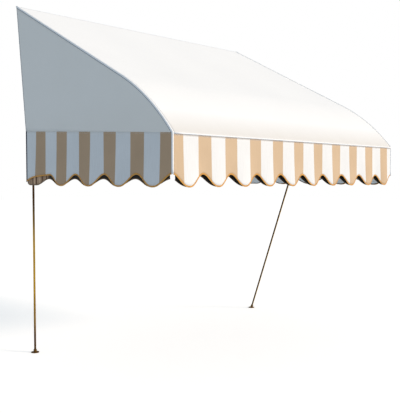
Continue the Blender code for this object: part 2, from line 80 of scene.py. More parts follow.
INSET = TUBE_RADIUS + SHEET + FIT
TOP = INSET / math.cos(ROOF_PITCH) + HEAD_OUT * math.tan(ROOF_PITCH)
FRONT_Z = TOP - DROP
BAR_OUT = PROJECTION - INSET
RAIL_SLOPE = RAIL_RISE / (PROJECTION - STAND_OFF)
REAR_OUT = STAND_OFF + TUBE_RADIUS + 0.004
SIDE_X = WIDTH / 2 - INSET
TRIM = 2 * (INSET * math.sqrt(2) - TUBE_RADIUS - FIT) / (1 + math.sqrt(2)) + FIT
BOTTOM_Z = FRONT_Z - VALANCE_DEPTH
ARCH_Z = BOTTOM_Z + SCALLOP_DEPTH
RUN = PROJECTION - STAND_OFF
FRONT_REPEAT, SIDE_REPEAT = WIDTH / 10, RUN / 5
RIBS = (-SIDE_X, -SIDE_X / 3, SIDE_X / 3, SIDE_X)
GROUND_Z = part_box("left_pole_foot")[0].z
HANDS = (("left", -1.0), ("right", 1.0))


def seam_z(out):
    """Height of the seam between a wing and the strip below it."""
    return FRONT_Z + RAIL_SLOPE * (PROJECTION - out)


print("front seam at", round(FRONT_Z, 4), "ground at", round(GROUND_Z, 4))

# %% [markdown]
# ## Camera
# The picture was taken from the left and a little below the striped strip. Its
# place was found from the corners of the wedge: a pinhole camera with no shift
# puts all eight of them within a few pixels. It could be set by eye, but a
# fitted camera lets the render be laid over the picture. The long side of the
# frame sets the field of view, so the lens follows from the focal length in
# pixels.

# %% Camera
FRAME_HEIGHT_PX, FOCAL_PX, SENSOR_MM = 413, 639.9, 36.0
camera_data = bpy.data.cameras.new("camera")
camera_data.sensor_width = SENSOR_MM
camera_data.lens = FOCAL_PX / FRAME_HEIGHT_PX * SENSOR_MM
camera = put("camera", camera_data)
camera.location = (-4.482, -5.426, -1.5505)
camera.rotation_euler = (math.radians(87.54), 0.0, math.radians(-44.64))
scene.camera = camera
print("lens", round(camera_data.lens, 2), "mm")

# %% [markdown]
# ## Writing materials as sums
# A finish is easier to read as a sum than as a web of nodes. A `Term` is a
# number that varies over the surface. Adding or multiplying two of them adds a
# Math node to the tree that they belong to. Everything else, from a noise to
# the shader itself, comes from one method of that tree, `node`.

# %% Sums and node trees
def both_ways(operation):
    """An operator and its reflected form, each of them one Math node."""
    def ahead(self, other):
        return self.math(operation, self, other)

    def swapped(self, other):
        return self.math(operation, other, self)
    return ahead, swapped


class Term:
    """An output socket that can be used in a sum."""

    __add__, __radd__ = both_ways("ADD")
    __sub__, __rsub__ = both_ways("SUBTRACT")
    __mul__, __rmul__ = both_ways("MULTIPLY")
    __truediv__, __rtruediv__ = both_ways("DIVIDE")
    __mod__, __rmod__ = both_ways("FLOORED_MODULO")
    __lt__, __gt__ = both_ways("LESS_THAN")

    def __init__(self, web, socket):
        self.web, self.socket = web, socket

    def math(self, operation, *values, clamp=False):
        settings = {"operation": operation, "use_clamp": clamp}
        return self.web.node("ShaderNodeMath", settings, dict(enumerate(values)))

    def sin(self):
        return self.math("SINE", self)

    def abs(self):
        return self.math("ABSOLUTE", self)

    def clamp(self):
        return self.math("ADD", self, 0.0, clamp=True)


class Web:
    """A node tree under construction, with one method that adds any node to it."""

    def __init__(self, tree):
        self.tree = tree
        tree.nodes.clear()

    def node(self, kind, settings=None, inputs=None, output=0):
        made = self.tree.nodes.new(kind)
        for name, value in (settings or {}).items():
            setattr(made, name, value)
        for name, value in (inputs or {}).items():
            for each in value if isinstance(value, list) else [value]:
                if isinstance(each, Term):
                    self.tree.links.new(each.socket, made.inputs[name])
                else:
                    made.inputs[name].default_value = each
        return Term(self, made.outputs[output]) if len(made.outputs) else made


print("reflected forms:", [name for name in vars(Term) if name.startswith("__r")])

# %% [markdown]
# ## Materials
# A `Finish` is the tree of one material, with short names for the few nodes
# that most of them use. Colours are told as a painter reads them on screen.

# %% Finishes
class Finish(Web):
    """A material under construction."""

    def __init__(self, name):
        self.material = bpy.data.materials.new(name)
        self.material.use_nodes = True
        super().__init__(self.material.node_tree)

    def cloth_place(self):
        """The cloth's own map, and how far along the cloth and up it, in metres."""
        where = self.node("ShaderNodeUVMap", {"uv_map": "cloth"})
        return where, *self.parts(where, 2)

    def object_place(self):
        """The place on the object, and its three parts."""
        where = self.node("ShaderNodeTexCoord", output=3)
        return where, self.parts(where, 3)

    def parts(self, where, count):
        return [self.node("ShaderNodeSeparateXYZ", inputs={0: where}, output=axis)
                for axis in range(count)]

    def noise(self, where, scale, detail=3.0, stretch=(1.0, 1.0, 1.0)):
        """Soft random values from 0 to 1 with features about 1 / scale metres wide."""
        spread = self.node("ShaderNodeMapping", inputs={"Vector": where, "Scale": stretch})
        return self.node("ShaderNodeTexNoise", inputs={
            "Vector": spread, "Scale": scale, "Detail": detail})

    def mix(self, amount, first, second):
        """A colour between two others."""
        return self.node("ShaderNodeMix", {"data_type": "RGBA"},
                         {"Factor": amount, 6: first, 7: second}, output=2)

    def range(self, value, low, high, start=0.0, end=1.0):
        """Where a value lies between two others, from start to end and no further."""
        return self.node("ShaderNodeMapRange", inputs={
            "Value": value, "From Min": low, "From Max": high, "To Min": start, "To Max": end})

    def bump(self, height, distance, strength=1.0, under=None):
        inputs = {"Height": height, "Distance": distance, "Strength": strength}
        if under is not None:
            inputs["Normal"] = under
        return self.node("ShaderNodeBump", inputs=inputs)

    def surface(self, **inputs):
        """Finish with the shader: its sockets by name, with _ for a space."""
        named = {name.replace("_", " "): value for name, value in inputs.items()}
        shader = self.node("ShaderNodeBsdfPrincipled", inputs=named)
        self.node("ShaderNodeOutputMaterial", inputs={"Surface": shader})
        return self.material


def rgb(red, green, blue):
    """A colour on screen, each part 0 to 255, in the renderer's linear light."""
    linear = [((c / 255 + 0.055) / 1.055) ** 2.4 if c > 10 else c / 255 / 12.92
              for c in (red, green, blue)]
    return (*linear, 1.0)


print("middle grey on screen is", round(rgb(128, 128, 128)[0], 3), "in linear light")

# %% [markdown]
# ## Tools that grow pieces
# A `Tool` is a geometry node group with named inputs. `grow` runs it on lines
# and keeps the plain mesh that comes out, so nothing live stays on the piece.

# %% Node groups that run along lines
class Tool(Web):
    """A geometry node group under construction, with its inputs as Terms in given."""

    def __init__(self, name, **inputs):
        self.group = bpy.data.node_groups.new(name, "GeometryNodeTree")
        super().__init__(self.group)
        face = self.group.interface
        face.new_socket("Lines", in_out="INPUT", socket_type="NodeSocketGeometry")
        for label, value in inputs.items():
            kind = {float: "Float", int: "Int", tuple: "Vector", type(None): "Material"}[type(value)]
            socket = face.new_socket(label, in_out="INPUT", socket_type="NodeSocket" + kind)
            if value is not None:
                socket.default_value = value
        face.new_socket("Pieces", in_out="OUTPUT", socket_type="NodeSocketGeometry")
        source = self.tree.nodes.new("NodeGroupInput")
        self.given = {socket.name: Term(self, socket) for socket in source.outputs if socket.name}

    def end(self, geometry):
        """Turn the instances into plain mesh, paint it and close the group."""
        solid = self.node("GeometryNodeRealizeInstances", inputs={"Geometry": geometry})
        painted = self.node("GeometryNodeSetMaterial",
                            inputs={"Geometry": solid, "Material": self.given["Paint"]})
        self.node("NodeGroupOutput", inputs={"Pieces": painted})
        return self.group

    def spots(self):
        """Evenly spaced points on the lines, and the way that each line runs there."""
        curve = self.node("GeometryNodeMeshToCurve", inputs={"Mesh": self.given["Lines"]})
        points = self.node("GeometryNodeResampleCurve", {"mode": "LENGTH"},
                           {"Curve": curve, "Length": self.given["Pitch"]})
        return points, self.node("GeometryNodeInputTangent")


def grow(name, group, lines, **values):
    """Run a node group on polylines and keep what it makes as a plain mesh."""
    points, edges = [], []
    for line in lines:
        edges += [(len(points) + step, len(points) + step + 1) for step in range(len(line) - 1)]
        points += [tuple(float(v) for v in point) for point in line]
    mesh = bpy.data.meshes.new(name + "_lines")
    mesh.from_pydata(points, edges, [])
    piece = put(name, mesh)
    modifier = piece.modifiers.new("grow", "NODES")
    modifier.node_group = group
    for socket in group.interface.items_tree:
        if socket.in_out == "INPUT" and socket.name in values:
            modifier[socket.identifier] = values[socket.name]
    graph = bpy.context.evaluated_depsgraph_get()
    plain = bpy.data.meshes.new_from_object(piece.evaluated_get(graph), depsgraph=graph)
    piece.modifiers.clear()
    piece.data = plain
    return piece


print("node trees so far:", len(bpy.data.node_groups), "groups,", len(bpy.data.materials), "materials")

# %% [markdown]
# ## Light
# One broad, slightly warm key stands high on the right in front. It reaches
# the roof and the front strip and leaves the left wing to the pale blue of the
# sky, which is what makes the wing read as cool grey. A lamp panel would do
# too, but a sun gives every part of a wide awning the same light. The sky is
# white where the camera looks straight at it and blue only as light.

# %% Key light and sky
KEY_FROM = Vector((0.50, -0.74, 0.36))
KEY_POWER, KEY_COLOR, KEY_SPREAD = 2.84, (1.0, 0.875, 0.765), math.radians(12)
SKY_LOW, SKY_HIGH, SKY_SEEN = (0.415, 0.494, 0.590, 1.0), (0.50, 0.57, 0.64, 1.0), (1.0, 1.0, 1.0, 1.0)
HORIZON, OVERHEAD = 0.1, 0.9

scene.view_settings.view_transform = "Standard"
key_data = bpy.data.lights.new("key", "SUN")
key_data.energy, key_data.color, key_data.angle = KEY_POWER, KEY_COLOR, KEY_SPREAD
key = put("key", key_data)
key.rotation_euler = KEY_FROM.to_track_quat("Z", "Y").to_euler()

scene.world = bpy.data.worlds.new("sky")
scene.world.use_nodes = True
sky = Web(scene.world.node_tree)
heading = sky.node("ShaderNodeTexCoord")
height = sky.node("ShaderNodeSeparateXYZ", inputs={0: heading}, output=2)
height = sky.node("ShaderNodeMapRange", inputs={"Value": height, "From Min": HORIZON, "From Max": OVERHEAD})
blue = sky.node("ShaderNodeMix", {"data_type": "RGBA"}, {"Factor": height, 6: SKY_LOW, 7: SKY_HIGH}, output=2)
glow = sky.node("ShaderNodeBackground", inputs={"Color": blue})
plain = sky.node("ShaderNodeBackground", inputs={"Color": SKY_SEEN})
looked_at = sky.node("ShaderNodeLightPath")
both = sky.node("ShaderNodeMixShader", inputs={0: looked_at, 1: glow, 2: plain})
sky.node("ShaderNodeOutputWorld", inputs={"Surface": both})
print("key power", KEY_POWER, "from", [round(v, 2) for v in KEY_FROM], "and a sky of",
      len(sky.tree.nodes), "nodes")

# %% [markdown]
# ## Things that repeat
# Stitches, weld ripples and screws are one small shape set many times along a
# line. They could be modelled one by one or arrayed, but a node group does it
# from a line and a pitch, with a fixed seed for the unevenness of handwork.

# %% Two tools: beads in a row, and screws in a row
def bead_row():
    tool = Tool("bead_row", Pitch=0.006, Length=0.0045, Radius=0.0005, Uneven=0.1, Seed=3, Paint=None)
    given = tool.given
    points, heading = tool.spots()
    ball = tool.node("GeometryNodeMeshUVSphere",
                     inputs={"Segments": 6, "Rings": 5, "Radius": given["Radius"]})
    ball = tool.node("GeometryNodeSetShadeSmooth", inputs={"Geometry": ball})
    turn = tool.node("FunctionNodeAlignRotationToVector", {"axis": "X"}, {"Vector": heading})
    chance = tool.node("FunctionNodeRandomValue", {"data_type": "FLOAT"}, {
        2: 1 - given["Uneven"], 3: 1 + given["Uneven"], "Seed": given["Seed"]}, output=1)
    long = given["Length"] / (given["Radius"] * 2) * chance
    size = tool.node("ShaderNodeCombineXYZ", inputs={0: long, 1: chance, 2: chance})
    return tool.end(tool.node("GeometryNodeInstanceOnPoints", inputs={
        "Points": points, "Instance": ball, "Rotation": turn, "Scale": size}))


def screw_row():
    tool = Tool("screw_row", Pitch=0.15, Radius=0.0045, Facing=(0.0, 1.0, 0.0), Paint=None)
    given = tool.given
    points, heading = tool.spots()
    washer = tool.node("GeometryNodeMeshCylinder", inputs={
        "Vertices": 28, "Radius": given["Radius"] * 1.7, "Depth": given["Radius"] * 0.5})
    dome = tool.node("GeometryNodeMeshUVSphere",
                     inputs={"Segments": 24, "Rings": 14, "Radius": given["Radius"]})
    flat = tool.node("GeometryNodeTransform",
                     inputs={"Geometry": dome, "Scale": (1.0, 1.0, 0.75)})
    flat = tool.node("GeometryNodeSetShadeSmooth", inputs={"Geometry": flat})
    slot = tool.node("GeometryNodeMeshCube")
    wide = tool.node("ShaderNodeCombineXYZ", inputs={
        0: given["Radius"] * 3, 1: given["Radius"] * 0.3, 2: given["Radius"] * 0.5})
    high = tool.node("ShaderNodeCombineXYZ", inputs={2: given["Radius"] * 0.82})
    slot = tool.node("GeometryNodeTransform",
                     inputs={"Geometry": slot, "Translation": high, "Scale": wide})
    head = tool.node("GeometryNodeMeshBoolean", {"operation": "DIFFERENCE", "solver": "EXACT"},
                     {"Mesh 1": flat, "Mesh 2": slot})
    both = tool.node("GeometryNodeJoinGeometry", inputs={0: [washer, head]})
    turn = tool.node("FunctionNodeAlignRotationToVector", {"axis": "Z"}, {"Vector": given["Facing"]})
    return tool.end(tool.node("GeometryNodeInstanceOnPoints", inputs={
        "Points": points, "Instance": both, "Rotation": turn}))


BEADS, SCREWS = bead_row(), screw_row()
print("node tools:", BEADS.name, SCREWS.name)

# %% [markdown]
# ## Canvas
# Awning canvas is a plain weave of round threads a little under a millimetre
# apart. From a few metres away it is smooth, so the weave goes into a Bump
# node only, with faint cloudy tone and a slight grey low on the cloth: on the
# roof this grey is painted shade where the cloth turns down over the nose, and
# on the wings it only darkens the lower part. The cloth carries its own map in
# metres, so warp and weft follow the bend of the roof instead of sliding over it.

# %% Canvas finishes
THREAD, RELIEF, SHEEN = 0.0009, 0.00012, 0.25
# The roof's grey band by the nose is painted shade; the wings only grow greyer lower down.
ROOF_PAINTED_SHADE_BAND, WING_LOWER_GREYING = (-2.24, -2.46, 0.42), (-0.9, -1.3, 0.10)


def weave(finish, u, v):
    """The relief of a plain weave: warp and weft threads that take turns on top."""
    warp = (u * (math.pi / THREAD)).sin()
    weft = (v * (math.pi / THREAD)).sin()
    turn = (warp * weft) > 0.0
    return finish.bump(warp.abs() * turn + weft.abs() * (1 - turn), RELIEF, 0.5)


def canvas(name, light, shaded, grey_band=None):
    """Cloth of one colour. The last argument greys it low down: from, to and how much, up the cloth."""
    finish = Finish(name)
    where, u, v = finish.cloth_place()
    cloud = finish.range(finish.noise(where, 1.7, 4.0), 0.35, 0.70)
    fine = finish.range(finish.noise(where, 60.0, 2.0), 0.3, 0.7, 0.0, 0.35)
    tone = finish.mix((cloud * 0.7 + fine * 0.3).clamp(), light, shaded)
    # On the roof this grey band is painted shade, where the cloth turns down over the nose.
    if grey_band:
        high, low, amount = grey_band
        streak = finish.range(finish.noise(where, 9.0, 3.0, (1.0, 0.10, 1.0)), 0.3, 0.75, 0.88, 1.0)
        reach = finish.range(v, high, low)
        tone = finish.mix((reach * streak * amount).clamp(), tone, rgb(198, 188, 172))
    slack = finish.noise(where, 6.0, 2.0, (1.0, 0.5, 1.0))
    slack = finish.bump(slack, 0.003, 0.35, under=weave(finish, u, v))
    return finish.surface(Base_Color=tone, Roughness=0.82, Normal=slack, Specular_IOR_Level=SHEEN)


ROOF_CLOTH = canvas("canvas_roof", rgb(243, 242, 239), rgb(241, 240, 237), ROOF_PAINTED_SHADE_BAND)
WING_CLOTH = canvas("canvas_wing", rgb(240, 237, 230), rgb(236, 233, 225), WING_LOWER_GREYING)
REVERSE = canvas("canvas_reverse", rgb(245, 243, 237), rgb(238, 236, 229))
# Painted shade: the lining's black stands for the shade inside the awning.
BLACK_LINING_PAINTED_SHADE = canvas("canvas_lining", rgb(26, 24, 22), rgb(19, 18, 17))


def side_lining(from_u):
    """Black as painted shade, and a streaky brown reverse in the last drop, where the light gets at it."""
    finish = Finish("canvas_side_lining")
    where, u, v = finish.cloth_place()
    streak = finish.range(finish.noise(where, 26.0, 3.0, (1.0, 0.12, 1.0)), 0.38, 0.62)
    reverse_brown = finish.mix(streak, rgb(92, 62, 44), rgb(222, 186, 150))
    # Up to the last drop the black is painted shade; the last drop shows the brown reverse.
    tone = finish.mix(finish.range(u, from_u, from_u + 0.05), rgb(24, 22, 20), reverse_brown)
    return finish.surface(Base_Color=tone, Roughness=0.82, Normal=weave(finish, u, v),
                          Specular_IOR_Level=SHEEN)


SIDE_LINING_PAINTED_SHADE = side_lining(RUN - SIDE_REPEAT)
PIPING = canvas("piping_cloth", rgb(250, 249, 247), rgb(244, 243, 241))
# Slate tape; along the wings' curved edge its slate is painted shade beside the piping.
SLATE_TAPE_AND_SHADE_LINE = canvas("edge_tape", rgb(150, 160, 168), rgb(140, 150, 158))
DARK_TAPE = canvas("edge_tape_dark", rgb(44, 58, 74), rgb(36, 50, 64))
WEBBING = canvas("webbing", rgb(52, 48, 44), rgb(40, 37, 34))
print("canvas weave at", THREAD * 1000, "mm, lining faded from", round(RUN - SIDE_REPEAT, 3), "m on")

# %% [markdown]
# ## Stripes
# The stripes are woven in, so they show on both faces and pass through the
# cloth. They could be painted as strips of faces, but a band cut out of the
# cloth's own map keeps a clean edge at any distance. The sides get a darker,
# cooler copy of the front's tones, which is painted shade, and a grey line of
# painted shadow lies under the front seam, below the bead.

# %% Striped canvas
TAN_SHARE, BEAD_SHADOW_LOW, BEAD_SHADOW_HIGH = 0.47, 0.018, 0.005


def striped(name, repeat, ahead, tans, pales, head):
    """Woven stripes across the strip, counted from the front corner, with painted shadow under its head seam.
    """
    finish = Finish(name)
    where, u, v = finish.cloth_place()
    tan_band = ((u / repeat + ahead) % 1.0) < TAN_SHARE
    cloud = finish.range(finish.noise(where, 3.0, 4.0), 0.35, 0.70)
    tan = finish.mix(cloud, *tans)
    pale = finish.mix(cloud, *pales)
    slub = finish.range(finish.noise(where, 220.0, 1.0, (1.0, 0.04, 1.0)), 0.35, 0.75, 0.0, 0.10)
    color = finish.mix(slub, finish.mix(tan_band, pale, tan), rgb(170, 150, 128))
    # Painted shadow: a grey line under the head seam, where the bead above would shade it.
    dust_and_painted_shadow = finish.range(v, head - BEAD_SHADOW_LOW, head - BEAD_SHADOW_HIGH, 0.0, 0.7)
    color = finish.mix(dust_and_painted_shadow, color, rgb(150, 143, 138))
    return finish.surface(Base_Color=color, Roughness=0.80, Normal=weave(finish, u, v),
                          Specular_IOR_Level=SHEEN)


FRONT_PAIR, SIDE_PAIR = 0.2822, 0.3358
NO_BEAD_SHADOW = 2.0
FRONT_STRIPES = striped(
    "canvas_stripes_front", FRONT_PAIR, 0.11,
    (rgb(219, 189, 153), rgb(212, 182, 146)), (rgb(244, 242, 237), rgb(240, 238, 233)),
    VALANCE_DEPTH - BEAD_RADIUS,
)
# The side copy is darker and cooler than the front: painted shade.
SIDE_STRIPES_PAINTED_SHADE = striped(
    "canvas_stripes_side", SIDE_PAIR, 0.09,
    (rgb(194, 165, 134), rgb(186, 158, 128)), (rgb(230, 231, 230), rgb(223, 225, 224)),
    NO_BEAD_SHADOW,
)
print("one tan and one pale stripe together:", FRONT_PAIR, "m in front,", SIDE_PAIR, "m on the sides")

# %% [markdown]
# ## Tapes and thread
# The bindings are ribbed tape, worn paler and darker in patches. Thread is too
# fine for modelled twist, so a slanting band of painted light and shade stands for it.

# %% Binding tapes and thread
RIB_PITCH, TWIST_PITCH = 0.0016, 0.0012


def tape(name, light, dark):
    """A woven tape with ribs across it, for bindings."""
    finish = Finish(name)
    where, u, _ = finish.cloth_place()
    ribs = (u * (2 * math.pi / RIB_PITCH)).sin()
    worn = finish.range(finish.noise(where, 35.0, 3.0), 0.35, 0.70)
    color = finish.mix((worn * 0.8 + finish.range(ribs, -1.0, 1.0, 0.0, 0.2)).clamp(), light, dark)
    return finish.surface(Base_Color=color, Roughness=0.6, Sheen_Weight=0.15,
                          Normal=finish.bump(ribs, 0.00025, 0.6))


GOLD_TAPE = tape("binding_tape", rgb(234, 170, 70), rgb(196, 134, 44))
BROWN_TAPE = tape("lining_tape", rgb(120, 86, 40), rgb(88, 62, 30))


def thread(name, light, dark):
    """Sewing thread, twisted: the twist shows as a fine slant of painted light and shade."""
    finish = Finish(name)
    _, (x, y, z) = finish.object_place()
    twist = finish.range(((x + y + z) * (2 * math.pi / TWIST_PITCH)).sin(), -1.0, 1.0)
    return finish.surface(Base_Color=finish.mix(twist, light, dark), Roughness=0.55,
                          Normal=finish.bump(twist, 0.0001, 0.5))


GOLD_THREAD = thread("thread_gold", rgb(196, 138, 54), rgb(150, 100, 36))
WHITE_THREAD = thread("thread_white", rgb(246, 244, 238), rgb(226, 223, 214))
BLACK_THREAD = thread("thread_black", rgb(44, 42, 40), rgb(24, 23, 22))
print("tapes and threads:", GOLD_TAPE.name, BROWN_TAPE.name, GOLD_THREAD.name, WHITE_THREAD.name,
      BLACK_THREAD.name)

# %% [markdown]
# ## Metal
# The tubes and brackets have a satin black coat with the slight orange peel
# that a sprayed coat has. An even black would look like plastic, so it is
# rubbed greyer here and there.

# %% Painted metal and plastic
def coated(name, color, worn, rough):
    finish = Finish(name)
    where, _ = finish.object_place()
    rub = finish.range(finish.noise(where, 14.0, 5.0), 0.55, 0.75)
    dust_and_painted_shadow = finish.range(finish.noise(where, 3.0, 4.0), 0.4, 0.75, 0.0, 0.5)
    tone = finish.mix((rub * 0.5 + dust_and_painted_shadow * 0.4).clamp(), color, worn)
    peel = finish.bump(finish.noise(where, 420.0, 2.0), 0.0002, 0.25)
    return finish.surface(Base_Color=tone, Roughness=(dust_and_painted_shadow * 0.25 + rough).clamp(), Normal=peel,
                          Coat_Weight=0.15)


FRAME_PAINT = coated("frame_paint", rgb(34, 33, 32), rgb(70, 68, 65), 0.36)
BRACKET_PAINT = coated("bracket_paint", rgb(40, 39, 38), rgb(84, 81, 77), 0.44)
PLUG_PLASTIC = coated("plug_plastic", rgb(26, 26, 26), rgb(52, 51, 50), 0.55)
print("paints:", FRAME_PAINT.name, BRACKET_PAINT.name, PLUG_PLASTIC.name)

# %% [markdown]
# ## Brass
# The poles are drawn brass without lacquer: long faint drawing lines, and a
# brown bloom that is rubbed away where hands hold the pole. An even gold would
# look new. One finish makes all three kinds, and is told by a function where
# the metal has gone brown. On the right pole that function paints shade
# instead: dark all round, with a painted highlight down the side facing forward.

# %% Brass
# The last of these is the angle round the right pole where its painted highlight runs.
HANDLED_Z, POLE_RADIUS, PAINTED_HIGHLIGHT_ANGLE = -2.37, 0.0095, math.radians(196)


def brass(name, tarnish_and_shade, brown_tone):
    """Drawn brass. The function given tells how much is brown, from its place and map; on the right pole it
    is painted shade.
    """
    finish = Finish(name)
    where, (_, _, z) = finish.object_place()
    lines = finish.noise(where, 900.0, 2.0, (1.0, 1.0, 0.01))
    bloom = finish.range(finish.noise(where, 7.0, 5.0, (1.0, 1.0, 0.45)), 0.42, 0.72)
    spots = finish.range(finish.noise(where, 160.0, 2.0), 0.66, 0.80)
    brown = (tarnish_and_shade(finish, z) + bloom * 0.25).clamp()
    tone = finish.mix(brown, rgb(188, 146, 34), brown_tone)
    tone = finish.mix((spots * 0.3).clamp(), tone, rgb(50, 34, 20))
    rough = (brown * 0.30 + finish.range(lines, 0.3, 0.7, 0.0, 0.08) + 0.26).clamp()
    return finish.surface(Base_Color=tone, Metallic=0.85, Roughness=rough, Coat_Weight=0.08,
                          Normal=finish.bump(lines, 0.0001, 0.3))


def brown_ends(finish, z):
    """Bright where hands polish it, about 0.8 m above the ground, and brown at both ends."""
    return finish.range((z - HANDLED_Z).abs(), 0.20, 0.62, 0.05, 1.0)


def painted_shade_and_highlight(finish, _):
    """Painted shade, nearly black all round, and a painted highlight down the side that faces forward."""
    _, _, girth = finish.cloth_place()
    return finish.range((girth - PAINTED_HIGHLIGHT_ANGLE * POLE_RADIUS).abs(), 0.0052, 0.0080, 0.05, 1.0)


def brown_evenly(finish, z):
    """Brown all over, on the fittings that no hand touches: a little more on the feet."""
    return finish.range(z, -1.6, -1.5, 0.75, 0.70)


POLISHED_BRASS = brass("brass_polished", brown_ends, rgb(78, 49, 16))
# The right pole: painted shade all round and a painted highlight on one side.
BRASS_PAINTED_SHADE = brass("brass_dark", painted_shade_and_highlight, rgb(34, 20, 10))
FITTING_BRASS = brass("brass_fittings", brown_evenly, rgb(74, 46, 18))
print("brass:", POLISHED_BRASS.name, BRASS_PAINTED_SHADE.name, FITTING_BRASS.name)

# %% [markdown]
# ## The packed pieces that stay
# Plugs, brackets, saddles and feet have their true form already and only get a
# finish. Their meshes come as loose triangles, so they are welded first. Then
# a narrow bevel catches the light on each edge, as on a worn casting, and a
# small node group shades smooth every edge that is flatter than the limit.

# %% Paint the packed pieces that stay
EDGE_WIDTH, SMOOTH_BELOW, BEVEL_ABOVE = 0.0006, math.radians(35), math.radians(40)
PAINTS = {"plug": PLUG_PLASTIC, "bracket": BRACKET_PAINT, "pole": FITTING_BRASS}
shading = Tool("shade_by_angle", Limit=SMOOTH_BELOW)
bend = shading.node("GeometryNodeInputMeshEdgeAngle")
soft = shading.node("GeometryNodeSetShadeSmooth", {"domain": "FACE"},
                    {"Geometry": shading.given["Lines"], "Shade Smooth": True})
soft = shading.node("GeometryNodeSetShadeSmooth", {"domain": "EDGE"},
                    {"Geometry": soft, "Shade Smooth": bend < shading.given["Limit"]})
shading.node("NodeGroupOutput", inputs={"Pieces": soft})
for name, node in nodes.items():
    paint = next((PAINTS[word] for word in PAINTS if word in name), None)
    if paint:
        node.data.materials.clear()
        node.data.materials.append(paint)
        node.modifiers.new("weld", "WELD").merge_threshold = 1e-5
        edge = node.modifiers.new("worn_edge", "BEVEL")
        edge.width, edge.segments, edge.limit_method = EDGE_WIDTH, 2, "ANGLE"
        edge.angle_limit = BEVEL_ABOVE
        node.modifiers.new("shade_by_angle", "NODES").node_group = shading.group
print("painted", sum(any(word in name for word in PAINTS) for name in nodes), "of", len(nodes), "nodes")

# %% [markdown]
# ## One skin for every cloth
# A cloth is a grid of points with its own map in metres. The points are given
# row by row. A modifier then gives it the real thickness towards the inside and
# hands the inner face the last material in the list, so that a black lining
# can have a pale reverse without a second sheet.

# %% Cloth builders
LIFT = 0.0002
STITCHES = {"Pitch": 0.0065, "Length": 0.0048, "Radius": 0.00055, "Uneven": 0.08}


def keep(piece, slot=None, *stands_for):
    """Fix a piece to the frame and hide the packed parts that it stands for."""
    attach(piece, "root")
    if stands_for:
        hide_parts(*stands_for)
    return piece


def skin(name, points, places, materials, thickness=SHEET, offset=-1.0, closed=False):
    """A sheet through rows of points. places gives each point's spot on the flat cloth."""
    points, places = np.asarray(points, float), np.asarray(places, float)
    rows, columns = points.shape[:2]
    index = np.arange(rows * columns).reshape(rows, columns)
    if closed:
        index = np.concatenate([index, index[:, :1]], 1)
    quads = np.stack([index[:-1, :-1], index[1:, :-1], index[1:, 1:], index[:-1, 1:]], -1).reshape(-1, 4)
    mesh = bpy.data.meshes.new(name)
    mesh.from_pydata(points.reshape(-1, 3).tolist(), [], quads.tolist())
    uv = mesh.uv_layers.new(name="cloth")
    corner = np.zeros(len(mesh.loops), int)
    mesh.loops.foreach_get("vertex_index", corner)
    uv.data.foreach_set("uv", places.reshape(-1, 2)[corner].astype(np.float32).ravel())
    mesh.shade_smooth()
    for material in materials:
        mesh.materials.append(material)
    piece = put(name, mesh)
    if thickness:
        depth = piece.modifiers.new("cloth_thickness", "SOLIDIFY")
        depth.thickness, depth.offset, depth.use_even_offset = thickness, offset, True
        depth.material_offset = len(materials) - 1
    return piece


def stitch(name, rows, colour, seed):
    """Rows of stitches along lines, in one piece."""
    return keep(grow(name, BEADS, rows, Seed=seed, Paint=colour, **STITCHES))


def sheet_area(piece):
    """Area of a sheet's own grid, one side, in square metres."""
    return sum(face.area for face in piece.data.polygons)


def run_along(points):
    """How far along a line each of its points lies."""
    return np.concatenate([[0.0], np.cumsum(np.linalg.norm(np.diff(points, axis=0), axis=1))])


def flat_map(along, across):
    """Each point's spot on the flat cloth, from distances along it and across it."""
    return np.stack(np.broadcast_arrays(along[:, None], across[None]), -1)


print("sheet of", SHEET * 1000, "mm canvas, built from rows of points")

# %% [markdown]
# ## Cords, rods and closed bands
# A cord is a ring of points swept along a line and closed at both ends. A
# bevelled curve would give the same form, but points keep the map in metres
# and let a fold be swept in the same way. The work on a finished mesh is a list
# of small steps: fill the ends, face outwards, or join the points that meet.

# %% Round cords and closed bands
CORD_SIDES = 16


def fill_ends(shape):
    bmesh.ops.holes_fill(shape, edges=[edge for edge in shape.edges if edge.is_boundary])


def face_out(shape):
    bmesh.ops.recalc_face_normals(shape, faces=shape.faces)


def join_points(shape):
    bmesh.ops.remove_doubles(shape, verts=shape.verts, dist=1e-5)


def rework(mesh, *steps):
    """Run steps on a mesh, one after another, and shade it smooth."""
    shape = bmesh.new()
    shape.from_mesh(mesh)
    for step in steps:
        step(shape)
    shape.to_mesh(mesh)
    shape.free()
    mesh.shade_smooth()


def solid(name, points, places, material):
    """A closed form through rings of points, with its ends filled."""
    piece = skin(name, points, places, [material], thickness=0.0, closed=True)
    rework(piece.data, fill_ends, face_out)
    return piece


def round_cord(name, path, radius, material, sides=CORD_SIDES):
    """A round cord swept along points, with a map in metres."""
    path = np.asarray(path, float)
    ahead = np.gradient(path, axis=0)
    ahead /= np.linalg.norm(ahead, axis=1)[:, None]
    reference = np.array([1.0, 0.0, 0.0]) if abs(ahead[0][0]) < 0.9 else np.array([0.0, 0.0, 1.0])
    first = np.cross(ahead, reference)
    first /= np.linalg.norm(first, axis=1)[:, None]
    second = np.cross(ahead, first)
    angle = np.linspace(0, 2 * math.pi, sides, endpoint=False)
    ring = (np.cos(angle)[None, :, None] * first[:, None]
            + np.sin(angle)[None, :, None] * second[:, None])
    return solid(name, path[:, None] + radius * ring, flat_map(run_along(path), angle * radius), material)


print("a cord has", CORD_SIDES, "sides")

# %% [markdown]
# ## The side view
# Ribs, roof, wings and piping all follow one curve: a long straight slope, a
# rolled bend, then a tight wrap round the front bar. It is worked out once as
# a path of points, and each piece follows it at its own depth below the skin.

